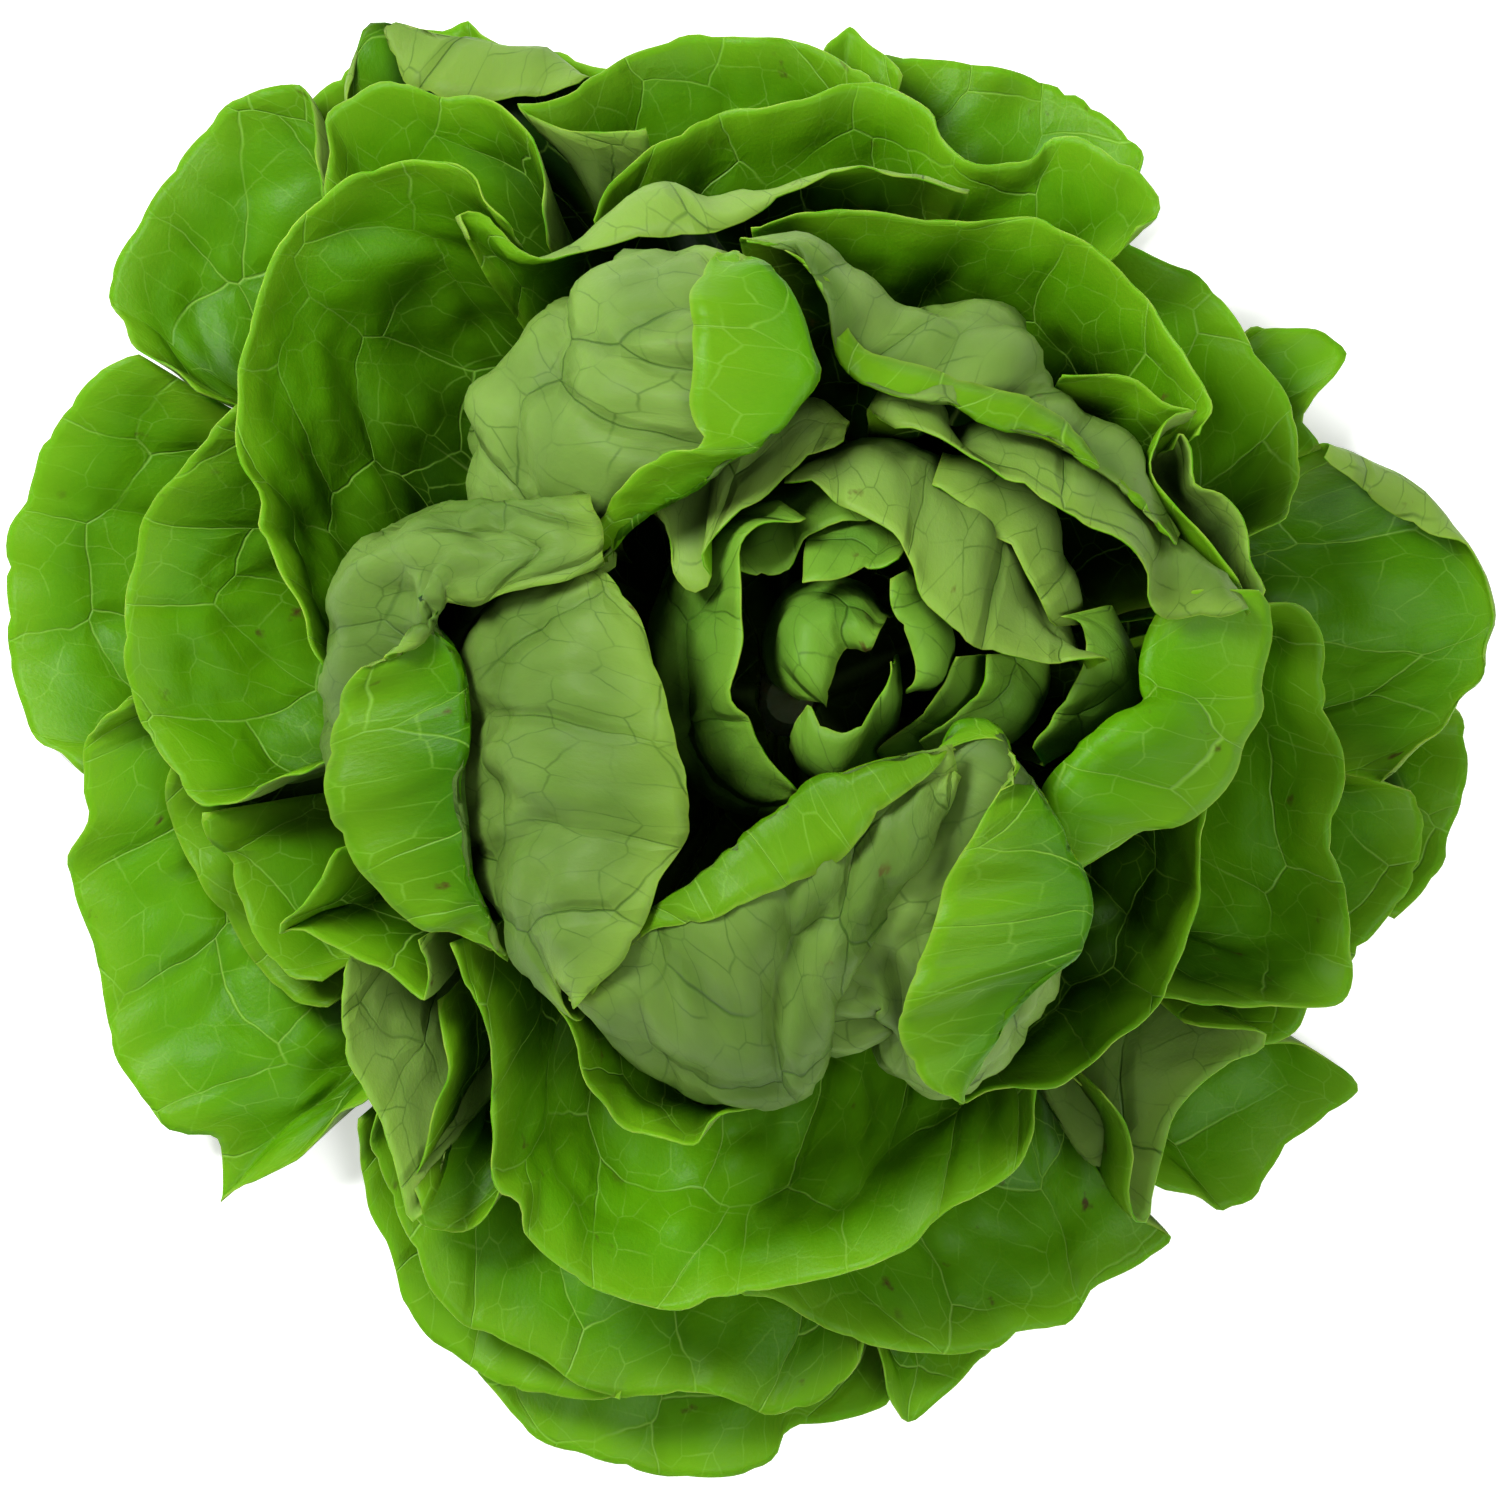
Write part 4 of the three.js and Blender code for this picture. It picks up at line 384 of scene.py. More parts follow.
class Curve:
    """A smooth curve, or a sheet of them side by side, through given points."""

    def __init__(self, points: np.ndarray, knots: Optional[np.ndarray] = None) -> None:
        """Keeps the points and works out the slope at each.

        Args:
            points: points along the first axis. Further axes hold curves side by side.
            knots: running value at each point, or none to take the distances between points.
        """
        self.points = points
        self.knots = self.chord_knots(points) if knots is None else np.asarray(knots, float)
        self.slopes = self._slopes()

    @staticmethod
    def chord_knots(points: np.ndarray) -> np.ndarray:
        """Running distances along a line of points, from 0."""
        gaps = np.linalg.norm(np.diff(points, axis=0), axis=-1)
        return np.concatenate([[0.0], np.cumsum(np.maximum(gaps, 1e-3))])

    def _slopes(self) -> np.ndarray:
        """The slope at each point: that of the parabola through it and its neighbours."""
        gaps = np.diff(self.knots).reshape(-1, *[1] * (self.points.ndim - 1))
        secants = np.diff(self.points, axis=0) / gaps
        slopes = np.concatenate([secants[:1], secants])
        if len(secants) > 1:
            before, after = gaps[:-1], gaps[1:]
            slopes[1:-1] = (secants[:-1] * after + secants[1:] * before) / (before + after)
        return slopes

    def at(self, values: np.ndarray) -> np.ndarray:
        """Points of the curve.

        Args:
            values: running values along it.

        Returns:
            One point, or one row of points, to each value.
        """
        first = np.clip(np.searchsorted(self.knots, values, side="left") - 1, 0, len(self.knots) - 2)
        shape = (-1, *[1] * (self.points.ndim - 1))
        span = (self.knots[first + 1] - self.knots[first]).reshape(shape)
        t = np.clip((values - self.knots[first]).reshape(shape) / span, 0, 1)
        start = (2 * t**3 - 3 * t**2 + 1) * self.points[first]
        leave = (t**3 - 2 * t**2 + t) * span * self.slopes[first]
        end = (3 * t**2 - 2 * t**3) * self.points[first + 1]
        arrive = (t**3 - t**2) * span * self.slopes[first + 1]
        return start + leave + end + arrive


@dataclass(frozen=True)
class Stem:
    """The butt that the leaves grow from, tapering up from its flat cut face."""

    height: float = 46.0
    cut_radius: float = 15.0
    tip_radius: float = 4.0

    def radius_at(self, height: float) -> float:
        """The stem's radius at a height above the cut face."""
        return self.cut_radius + (self.tip_radius - self.cut_radius) * height / self.height


@dataclass(frozen=True)
class Growth:
    """How a leaf grows out of the stem to its first drawn row. Lengths are in millimetres."""

    stem: Stem = Stem()
    blade: float = 0.9
    neck_width: float = 13.0
    neck_gap: float = 0.9
    widest_neck: float = 1.2
    lowest_neck: float = 7.0
    highest_neck: float = 47.0
    belly_reach: float = 0.5
    belly_spread: float = 0.85
    belly_rise: float = 0.06
    belly_hang: float = 0.34
    hang_radius: float = 45.0
    shoulder_reach: float = 0.62
    shoulder_dip: float = 1.0
    shoulder_bowl: float = 0.16
    wave_height: float = 1.6
    wave_length: float = 34.0
    wave_fade: float = 6.0
    wave_turn: float = 9.0
    facet: float = 17.0
    fewest_columns: int = 5
    most_columns: int = 13

    def clear_radius(self, height: float) -> float:
        """How near the stem's axis the middle of a blade may come at a height."""
        return self.stem.radius_at(height) + self.neck_gap + self.blade / 2

    def hidden_rows(self, first: np.ndarray, neck_height: float, is_open: bool) -> list[np.ndarray]:
        """The rows under the drawn ones: neck and belly, and an open leaf's shoulder.

        Args:
            first: the leaf's first drawn row.
            neck_height: height on the stem at which the leaf leaves it.
            is_open: True for a leaf of the open part of the head.

        Returns:
            The hidden rows from the stem outwards.
        """
        turns = np.unwrap(np.arctan2(first[:, 1], first[:, 0]))
        middle = turns.mean()
        side = float(np.sign(turns[-1] - turns[0])) or 1.0
        neck_radius = self.clear_radius(neck_height)
        spread = min(self.neck_width / neck_radius, self.widest_neck)
        neck_turns = middle + side * np.linspace(-0.5, 0.5, len(first)) * spread
        neck = self._ring(neck_turns, neck_radius, neck_height)
        reach = np.hypot(first[:, 0], first[:, 1])
        radius = neck_radius + (reach - neck_radius) * self.belly_reach
        hang = self.belly_hang * neck_height * np.minimum(radius / self.hang_radius, 1)
        height = neck_height - hang + self.belly_rise * (first[:, 2] - neck_height)
        belly = self._ring(middle + (turns - middle) * self.belly_spread, radius, height)
        if not is_open:
            return [neck, belly]
        shoulder = belly + (first - belly) * self.shoulder_reach
        shoulder[:, 2] -= self.shoulder_dip + self.shoulder_bowl * np.maximum(first[:, 2] - belly[:, 2], 0)
        return [neck, belly, shoulder]

    @staticmethod
    def _ring(turns: np.ndarray, radius: Any, height: Any) -> np.ndarray:
        """Points at given bearings, distances and heights from the stem's foot."""
        flat = np.stack([np.cos(turns) * radius, np.sin(turns) * radius], axis=1)
        return np.concatenate([flat, np.broadcast_to(height, (len(turns),)).reshape(-1, 1)], axis=1)


GROWTH = Growth()


def grid_normals(grid: np.ndarray) -> np.ndarray:
    """The normal of the upper face at each point of a grid.

    Args:
        grid: points by row, from neck to margin, and by column, against the clock.

    Returns:
        Unit normals in the same layout.
    """
    rows = np.clip(np.arange(-1, len(grid) + 1), 0, len(grid) - 1)
    columns = np.clip(np.arange(-1, grid.shape[1] + 1), 0, grid.shape[1] - 1)
    along = grid[rows[2:]] - grid[rows[:-2]]
    across = grid[:, columns[2:]] - grid[:, columns[:-2]]
    normals = np.cross(along, across)
    return normals / np.maximum(np.linalg.norm(normals, axis=-1, keepdims=True), 1e-9)


class Leaf:
    """One leaf: its drawn rows, its coarse middle surface, and where its rows lie along it."""

    def __init__(self, name: str, rows: list, rank: float) -> None:
        """Lays the leaf out before it is bent.

        Args:
            name: the leaf's node.
            rows: its drawn rows, as in LEAVES.
            rank: 0 for the outermost leaf, to 1 for the innermost.
        """
        self.name = name
        self.rows = rows
        self.family = Family(name.split("_")[0])
        margin = Curve(PLAN.place(rows[-1])).knots[-1]
        facets = math.floor(margin / GROWTH.facet + 0.5)
        self.columns = int(np.clip(facets, GROWTH.fewest_columns, GROWTH.most_columns))
        drawn = [self._spread(row) for row in rows]
        neck_height = GROWTH.lowest_neck + (GROWTH.highest_neck - GROWTH.lowest_neck) * rank
        is_open = len(drawn) < 3 and self.family not in (Family.WRAP, Family.HEART)
        all_rows = np.array([*GROWTH.hidden_rows(drawn[0], neck_height, is_open), *drawn])
        gaps = np.linalg.norm(np.diff(all_rows, axis=0), axis=-1).mean(axis=1)
        knots = np.concatenate([[0.0], np.cumsum(np.maximum(gaps, 1))])
        self.drawn_at = knots[-len(rows) :]
        self.steps = self._steps(knots)
        self.grid = Curve(all_rows, knots).at(self.steps)
        waves = max(1, math.floor(margin / GROWTH.wave_length + 0.5))
        swing = np.sin(2 * math.pi * waves * np.linspace(0, 1, self.columns + 1) + GROWTH.wave_turn * rank)
        fade = (self.steps / knots[-1]) ** GROWTH.wave_fade
        self.grid[:, :, 2] += GROWTH.wave_height * fade[:, None] * swing[None, :]

    def _spread(self, row: Sequence[Sequence[float]]) -> np.ndarray:
        """The row's curve with the same number of points on it as every other row."""
        curve = Curve(PLAN.place(row))
        return curve.at(curve.knots[-1] * np.linspace(0, 1, self.columns + 1))

    def detail(self, across: np.ndarray, along: np.ndarray, fade: float) -> np.ndarray:
        """What the drawn rows hold that the coarse grid is too wide to show: lobes, tips and notches.

        Args:
            across: shares of a row, from 0 to 1.
            along: distances along the leaf.
            fade: how far below its first drawn row a leaf still takes up that row's detail.

        Returns:
            How far each point of the fine grid moves.
        """
        moves = []
        for row in self.rows:
            curve = Curve(PLAN.place(row))
            coarse = Curve(self._spread(row), np.arange(self.columns + 1.0))
            moves.append(curve.at(curve.knots[-1] * across) - coarse.at(self.columns * across))
        grid = np.array(moves)
        upper = np.minimum(np.searchsorted(self.drawn_at, along), len(moves) - 1)
        lower = np.maximum(upper - 1, 0)
        span = np.maximum(self.drawn_at[upper] - self.drawn_at[lower], 1.0)
        share = np.clip((along - self.drawn_at[lower]) / span, 0, 1)[:, None, None]
        begun = np.clip(1 - (self.drawn_at[0] - along) / fade, 0, 1)
        eased = (begun * begun * (3 - 2 * begun))[:, None, None]
        return (grid[lower] * (1 - share) + grid[upper] * share) * eased

    @staticmethod
    def _steps(knots: np.ndarray) -> np.ndarray:
        """Where the grid's rows lie along the leaf: whole numbers of facets between its given rows."""
        steps = [0.0]
        for low, high in zip(knots[:-1], knots[1:]):
            cells = max(1, math.floor((high - low) / GROWTH.facet + 0.5))
            steps.extend(low + (high - low) * cell / cells for cell in range(1, cells + 1))
        return np.array(steps)


class Sheet:
    """A leaf for the bending: its triangles, and test points at its corners, edges and cells."""

    def __init__(self, grid: np.ndarray, reach: float) -> None:
        """Builds the search tree and the test points.

        Args:
            grid: the leaf's coarse middle surface.
            reach: how deep a crossing may be that is still pushed back.
        """
        rows, columns = grid.shape[:2]
        self.normals = grid_normals(grid)
        index = np.arange(rows * columns).reshape(rows, columns)
        a, b, c, d = index[:-1, :-1], index[:-1, 1:], index[1:, 1:], index[1:, :-1]
        halves = np.stack([np.stack([a, b, c], -1), np.stack([a, c, d], -1)], 2)
        self.triangles = halves.reshape(-1, 3)
        self.flat = grid.reshape(-1, 3)
        self.tree = BVHTree.FromPolygons(self.flat.tolist(), self.triangles.tolist())
        j, i = np.meshgrid(np.arange(2 * rows - 1), np.arange(2 * columns - 1), indexing="ij")
        near = (j // 2) * columns + i // 2
        far = ((j + 1) // 2) * columns + (i + 1) // 2
        self.owners = np.stack([near, far], -1).reshape(-1, 2)
        self.tests = self.flat[self.owners].mean(axis=1)
        self.low = self.flat.min(axis=0) - reach / 2
        self.high = self.flat.max(axis=0) + reach / 2
        self.facing = float(np.sign(self.normals[1, columns // 2, 2])) or 1.0

    def weights(self, triangle: int, point: np.ndarray) -> np.ndarray:
        """A point's shares of the three corners of one of the sheet's triangles."""
        a, b, c = self.flat[self.triangles[triangle]]
        edges = np.array([b - a, c - a])
        gram = edges @ edges.T
        det = max(gram[0, 0] * gram[1, 1] - gram[0, 1] ** 2, 1e-12)
        d1, d2 = edges @ (point - a)
        v = (gram[1, 1] * d1 - gram[0, 1] * d2) / det
        w = (gram[0, 0] * d2 - gram[0, 1] * d1) / det
        return np.array([1 - v - w, v, w])


@dataclass(frozen=True)
class Bending:
    """How the leaves are bent clear of each other, of the stem and of the floor, in millimetres."""

    rounds: int = 10
    clearance: float = 1.5
    reach: float = 3.5
    aside: float = 1.0
    share: float = 0.35

    def bend(self, leaves: list[Leaf]) -> None:
        """Moves the grids of all leaves apart.

        Args:
            leaves: the leaves from the outermost to the innermost.
        """
        for _ in range(self.rounds):
            sheets = [Sheet(leaf.grid, self.reach) for leaf in leaves]
            sums = [np.zeros_like(sheet.flat) for sheet in sheets]
            most = [np.zeros(len(sheet.flat)) for sheet in sheets]
            for k, sheet in enumerate(sheets):
                for m, tested in enumerate(sheets):
                    if m != k and (sheet.low <= tested.high).all() and (tested.low <= sheet.high).all():
                        side = 1.0 if m > k else -1.0
                        self._push_pair(sheet, tested, side, (sums[k], most[k]), (sums[m], most[m]))
            for leaf, total, strongest in zip(leaves, sums, most):
                self._move(leaf, total, strongest)

    def _push_pair(self, sheet: Sheet, tested: Sheet, side: float, kept: tuple, pushed: tuple) -> None:
        """Pushes two leaves apart where a test point of one is too near the other or on its wrong side.

        Args:
            sheet: the leaf whose surface is searched.
            tested: the leaf whose points are tested.
            side: 1 when the tested leaf is the inner one, -1 when it is the outer one.
            kept: sums and strongest pushes of the sheet's points.
            pushed: sums and strongest pushes of the tested leaf's points.
        """
        inside = ((tested.tests >= sheet.low) & (tested.tests <= sheet.high)).all(axis=1)
        find = sheet.tree.find_nearest
        for test in np.nonzero(inside)[0]:
            point = tested.tests[test]
            place, _, triangle, distance = find(point.tolist(), self.reach)
            if place is None or distance >= self.reach:
                continue
            nearest = np.array(place)
            weights = sheet.weights(triangle, nearest)
            corners = sheet.triangles[triangle]
            normal = weights @ sheet.normals.reshape(-1, 3)[corners]
            normal *= side * sheet.facing / max(np.linalg.norm(normal), 1e-9)
            height = float((point - nearest) @ normal)
            aside = math.sqrt(max(distance**2 - height**2, 0))
            if height >= self.clearance or aside > self.aside:
                continue
            push = normal * (self.clearance - height) * self.share
            for owner in set(tested.owners[test].tolist()):
                self._add(pushed, owner, push)
            for corner, weight in zip(corners, weights):
                self._add(kept, corner, -push * weight)

    @staticmethod
    def _add(pushes: tuple, index: int, push: np.ndarray) -> None:
        """Adds one push to a point's sum, and keeps the strongest."""
        pushes[0][index] += push
        pushes[1][index] = max(pushes[1][index], float(np.linalg.norm(push)))

    @staticmethod
    def _move(leaf: Leaf, total: np.ndarray, strongest: np.ndarray) -> None:
        """Moves a leaf's points by their pushes, and clear of the stem and of the floor."""
        length = np.maximum(np.linalg.norm(total, axis=1), 1e-9)
        points = leaf.grid.reshape(-1, 3) + total * np.minimum(1, strongest / length)[:, None]
        stem_height = GROWTH.stem.height
        clear = GROWTH.clear_radius(np.minimum(points[:, 2], stem_height))
        radius = np.maximum(np.hypot(points[:, 0], points[:, 1]), 1e-9)
        inside = (points[:, 2] < stem_height) & (radius < clear)
        points[inside, :2] *= (clear / radius)[inside, None]
        points[:, 2] = np.maximum(points[:, 2], GROWTH.blade / 2)
        leaf.grid = points.reshape(leaf.grid.shape)


def linear(colour: str) -> tuple[float, float, float, float]:
    """Turns an sRGB hex colour into linear values.

    Args:
        colour: six hex digits.

    Returns:
        Red, green and blue, and an opacity of 1.
    """
    values = []
    for start in (0, 2, 4):
        value = int(colour[start : start + 2], 16) / 255
        values.append(value / 12.92 if value <= 0.04045 else ((value + 0.055) / 1.055) ** 2.4)
    return (*values, 1.0)


def add_node(
    tree: bpy.types.NodeTree, kind: str, inputs: Optional[dict] = None, **settings: Any
) -> bpy.types.Node:
    """Adds a node to a tree, with its settings and its inputs.

    Args:
        tree: the node tree.
        kind: the node's type.
        inputs: a value or another node's output for each input, by the input's name or number.
        settings: the node's own settings.

    Returns:
        The node.
    """
    node = tree.nodes.new(kind)
    for name, value in settings.items():
        setattr(node, name, value)
    for key, value in (inputs or {}).items():
        if isinstance(value, bpy.types.NodeSocket):
            tree.links.new(value, node.inputs[key])
        else:
            node.inputs[key].default_value = value
    return node


@dataclass(frozen=True)
class VeinNet:
    """A net of veins that closes round panels of the blade. Lengths are in metres."""

    size: float  # across a panel
    width: float  # half the width of a vein
    bend: float  # how far a vein strays from straight
    wiggle: float = 0.8  # bends to each panel
    longer: float = 0.75  # a panel's width, of its length
    unlike: float = 0.9  # how unlike each other the panels are
    fading: float = 0.9  # how often a vein comes and goes, to each panel
    faint: float = 0.35  # the noise where a vein is faintest
    strong: float = 0.62  # and where it is strongest
    least: float = 0.2  # what is left of a faint vein

    def distance(self, tree: bpy.types.NodeTree, place: Any, rate: Any, wiggle_rate: Any, bend: Any) -> Any:
        """How far the blade is from the nearest vein.

        Args:
            tree: a material's tree, or a tree of geometry nodes.
            place: the output that gives the place on the leaf.
            rate: panels to a metre.
            wiggle_rate: bends to a metre.
            bend: how far a vein strays.

        Returns:
            The distance, of the panel's size.
        """
        noise = add_node(
            tree,
            "ShaderNodeTexNoise",
            {"Vector": place, "Scale": wiggle_rate, "Detail": 3.0},
            noise_dimensions="2D",
        )
        middle = {0: noise.outputs["Color"], 1: (0.5, 0.5, 0.5)}
        centred = add_node(tree, "ShaderNodeVectorMath", middle, operation="SUBTRACT").outputs[0]
        scaled = {0: centred, "Scale": bend}
        bent = add_node(tree, "ShaderNodeVectorMath", scaled, operation="SCALE").outputs[0]
        moved = add_node(tree, "ShaderNodeVectorMath", {0: place, 1: bent}, operation="ADD").outputs[0]
        shape = {0: moved, 1: (1.0, self.longer, 1.0)}
        stretched = add_node(tree, "ShaderNodeVectorMath", shape, operation="MULTIPLY").outputs[0]
        cells = add_node(
            tree,
            "ShaderNodeTexVoronoi",
            {"Vector": stretched, "Scale": rate, "Randomness": self.unlike},
            feature="DISTANCE_TO_EDGE",
            voronoi_dimensions="2D",
        )
        return cells.outputs["Distance"]

    def course(self, tree: bpy.types.NodeTree, place: Any) -> tuple[Any, Any]:
        """Where the veins run over the blade, and where they come and go.

        Args:
            tree: a material's tree.
            place: the output that gives the place on the leaf.

        Returns:
            The output that gives the distance from the nearest vein, and the noise that they fade with.
        """
        rate = 1 / self.size
        distance = self.distance(tree, place, rate, self.wiggle * rate, self.bend * 2)
        waves = {"Vector": place, "Scale": self.fading * rate, "Detail": 1.0}
        noise = add_node(tree, "ShaderNodeTexNoise", waves, noise_dimensions="2D").outputs[0]
        return distance, noise

    def lines(
        self, tree: bpy.types.NodeTree, course: tuple[Any, Any], width: float, strongest: float
    ) -> Any:
        """Lines drawn along the veins, which come and go with them.

        Args:
            tree: a material's tree.
            course: what course() gives for this net.
            width: half the width of a line, in metres.
            strongest: what the middle of a strong line gives.

        Returns:
            The share of line, which is 0 between veins.
        """
        distance, noise = course
        reach = width / self.size
        across = {"Value": distance, "From Min": 0.0, "From Max": reach, "To Min": 1.0, "To Max": 0.0}
        line = add_node(tree, "ShaderNodeMapRange", across, interpolation_type="SMOOTHSTEP").outputs[0]
        fading = {
            "Value": noise,
            "From Min": self.faint,
            "From Max": self.strong,
            "To Min": strongest * self.least,
            "To Max": strongest,
        }
        strength = add_node(tree, "ShaderNodeMapRange", fading).outputs[0]
        return add_node(tree, "ShaderNodeMath", {0: line, 1: strength}, operation="MULTIPLY").outputs[0]


MAIN_VEINS = VeinNet(size=20 * MM, width=0.3 * MM, bend=3.5 * MM)
FINE_VEINS = VeinNet(size=6.5 * MM, width=0.22 * MM, bend=1.1 * MM)
VALLEY_WIDTH = 2.6 * MM  # half the width of the dips that the main veins lie in


@dataclass(frozen=True)
class Relief:
    """The swellings between the veins of a leaf, as a tree of geometry nodes. Lengths are in metres."""

    swell: float = 2.2 * MM
    pillow: float = 0.8 * MM
    pucker: float = 4.5 * MM
    pucker_size: float = 26 * MM
    crease: float = 2.2 * MM
    crease_size: float = 42 * MM
    full_panel: float = 0.36  # how far from a vein a panel is fully swollen, of its size
    hollow_noise: float = 0.28
    top_noise: float = 0.72
    hollow: float = -0.15  # where the hollows between lumps lie, of a lump's height
    top: float = 0.85
    crease_noise: float = 0.05  # how far the noise may be from its middle in a crease
    crease_bend: float = 0.6

    def tree(self, material: bpy.types.Material) -> bpy.types.GeometryNodeTree:
        """Builds the tree. Points move along their normals, and stay where "free" is 0.

        Args:
            material: the finish set at the end.

        Returns:
            The node group, with its sizes as named inputs.
        """
        group = bpy.data.node_groups.new("leaf_relief", "GeometryNodeTree")
        face = group.interface
        face.new_socket("Leaf", in_out="INPUT", socket_type="NodeSocketGeometry")
        for name in self.sizes(0.0, 1.0):
            face.new_socket(name, in_out="INPUT", socket_type="NodeSocketFloat")
        face.new_socket("Leaf", in_out="OUTPUT", socket_type="NodeSocketGeometry")
        given = group.nodes.new("NodeGroupInput").outputs
        at = add_node(
            group, "GeometryNodeInputNamedAttribute", {"Name": "leaf_place"}, data_type="FLOAT_VECTOR"
        ).outputs["Attribute"]
        free = add_node(group, "GeometryNodeInputNamedAttribute", {"Name": "free"}, data_type="FLOAT")
        heights = [
            self._swellings(group, at, MAIN_VEINS, given["Panel size"], given["Panel swell"]),
            self._swellings(group, at, FINE_VEINS, given["Pillow size"], given["Pillow swell"]),
            self._puckers(group, at, given["Pucker size"], given["Pucker height"]),
            self._creases(group, at, given["Crease size"], given["Crease depth"]),
        ]
        height = heights[0]
        for more in heights[1:]:
            height = add_node(group, "ShaderNodeMath", {0: height, 1: more}, operation="ADD").outputs[0]
        loosened = {0: height, 1: free.outputs["Attribute"]}
        faded = add_node(group, "ShaderNodeMath", loosened, operation="MULTIPLY").outputs[0]
        normal = group.nodes.new("GeometryNodeInputNormal").outputs[0]
        along = {0: normal, "Scale": faded}
        offset = add_node(group, "ShaderNodeVectorMath", along, operation="SCALE").outputs[0]
        shift = {"Geometry": given["Leaf"], "Offset": offset}
        moved = add_node(group, "GeometryNodeSetPosition", shift).outputs[0]
        real = add_node(group, "GeometryNodeRealizeInstances", {"Geometry": moved}).outputs[0]
        dress = {"Geometry": real, "Material": material}
        dressed = add_node(group, "GeometryNodeSetMaterial", dress).outputs[0]
        add_node(group, "NodeGroupOutput", {"Leaf": dressed})
        return group

    def _swellings(
        self, group: bpy.types.NodeTree, at: Any, net: VeinNet, size: Any, height: Any
    ) -> Any:
        """Panels of a net that swell between its veins.

        Args:
            group: the tree.
            at: the output that gives the place on the leaf.
            net: the net of veins.
            size: across a panel.
            height: from vein to middle of a panel.

        Returns:
            The output that gives the height.
        """
        rate = add_node(group, "ShaderNodeMath", {0: 1.0, 1: size}, operation="DIVIDE").outputs[0]
        bends = {0: rate, 1: net.wiggle}
        wiggles = add_node(group, "ShaderNodeMath", bends, operation="MULTIPLY").outputs[0]
        distance = net.distance(group, at, rate, wiggles, net.bend * 2)
        bulge = add_node(
            group,
            "ShaderNodeMapRange",
            {"Value": distance, "From Min": 0.0, "From Max": self.full_panel, "To Min": 0.0, "To Max": 1.0},
            interpolation_type="SMOOTHERSTEP",
        ).outputs[0]
        return add_node(group, "ShaderNodeMath", {0: bulge, 1: height}, operation="MULTIPLY").outputs[0]

    def _puckers(self, group: bpy.types.NodeTree, at: Any, size: Any, height: Any) -> Any:
        """Broad soft lumps, whose height is from hollow to top."""
        rate = add_node(group, "ShaderNodeMath", {0: 1.0, 1: size}, operation="DIVIDE").outputs[0]
        waves = {"Vector": at, "Scale": rate, "Detail": 2.0}
        noise = add_node(group, "ShaderNodeTexNoise", waves, noise_dimensions="2D").outputs[0]
        limits = {
            "Value": noise,
            "From Min": self.hollow_noise,
            "From Max": self.top_noise,
            "To Min": self.hollow,
            "To Max": self.top,
        }
        lumps = add_node(group, "ShaderNodeMapRange", limits).outputs[0]
        return add_node(group, "ShaderNodeMath", {0: lumps, 1: height}, operation="MULTIPLY").outputs[0]

    def _creases(self, group: bpy.types.NodeTree, at: Any, size: Any, depth: Any) -> Any:
        """A few long sunk creases, where a slow wave crosses its middle."""
        rate = add_node(group, "ShaderNodeMath", {0: 1.0, 1: size}, operation="DIVIDE").outputs[0]
        waves = {"Vector": at, "Scale": rate, "Detail": 1.0, "Distortion": self.crease_bend}
        wave = add_node(group, "ShaderNodeTexNoise", waves, noise_dimensions="2D").outputs[0]
        centred = add_node(group, "ShaderNodeMath", {0: wave, 1: 0.5}, operation="SUBTRACT").outputs[0]
        away = add_node(group, "ShaderNodeMath", {0: centred}, operation="ABSOLUTE").outputs[0]
        reach = self.crease_noise
        limits = {"Value": away, "From Min": 0.0, "From Max": reach, "To Min": -1.0, "To Max": 0.0}
        line = add_node(group, "ShaderNodeMapRange", limits, interpolation_type="SMOOTHSTEP").outputs[0]
        return add_node(group, "ShaderNodeMath", {0: line, 1: depth}, operation="MULTIPLY").outputs[0]

    def sizes(self, share: float, lump: float) -> dict[str, float]:
        """The tree's inputs for one leaf.

        Args:
            share: how strongly the leaf is puckered, below 0 where it swells towards its underside.
            lump: how large its lumps and creases are, of this relief's sizes.

        Returns:
            A value to each named input.
        """
        return {
            "Panel swell": self.swell * share,
            "Panel size": MAIN_VEINS.size,
            "Pillow swell": self.pillow * share,
            "Pillow size": FINE_VEINS.size,
            "Pucker height": self.pucker * share,
            "Pucker size": self.pucker_size * lump,
            "Crease depth": self.crease * share,
            "Crease size": self.crease_size * lump,
        }


@dataclass(frozen=True)
class SkinFinish:
    """The skin of one face of the blade: colours in sRGB hex and lengths in metres."""

    deep: str
    fresh: str
    # the colour of the painted shade deep between leaves
    painted_shade_colour: str
    margin: str
    vein: str
    rib: str
    edge_line: str
    spot: str
    roughness: float
    gloss: float
    painted_shade_share: float  # how strong the painted shade is deep between leaves
    patch: float  # across a soft patch of lighter green
    mottle: float  # how much lighter a patch is
    glow: float  # how far in from the margin the lighter band reaches
    glow_share: float
    line: float  # width of the pale line along the margin
    line_share: float
    main_vein: float  # how strongly a main vein shows
    fine_vein: float
    sunk: float  # how far main veins are sunk, of the skin's relief
    valley: float  # how far the dips along them are sunk, of the skin's relief
    valley_painted_shade: float  # how much painted shade deepens the green in a dip


# Living leaf under a thin wax, which gives the eye a satin green. It is deepest in the middle of the
# blade, and the thin margin is yellow-green.
WAXY = SkinFinish(
    deep="1a4600",
    fresh="427504",
    painted_shade_colour="051c00",
    margin="5c8412",
    vein="6b9434",
    rib="7d9a48",
    edge_line="6a8428",
    spot="3a3510",
    roughness=0.4,
    gloss=0.08,
    painted_shade_share=0.95,
    patch=30 * MM,
    mottle=0.45,
    glow=12 * MM,
    glow_share=0.5,
    line=0.6 * MM,
    line_share=0.5,
    main_vein=0.75,
    fine_vein=0.3,
    sunk=0.7,
    valley=1.0,
    valley_painted_shade=0.2,
)

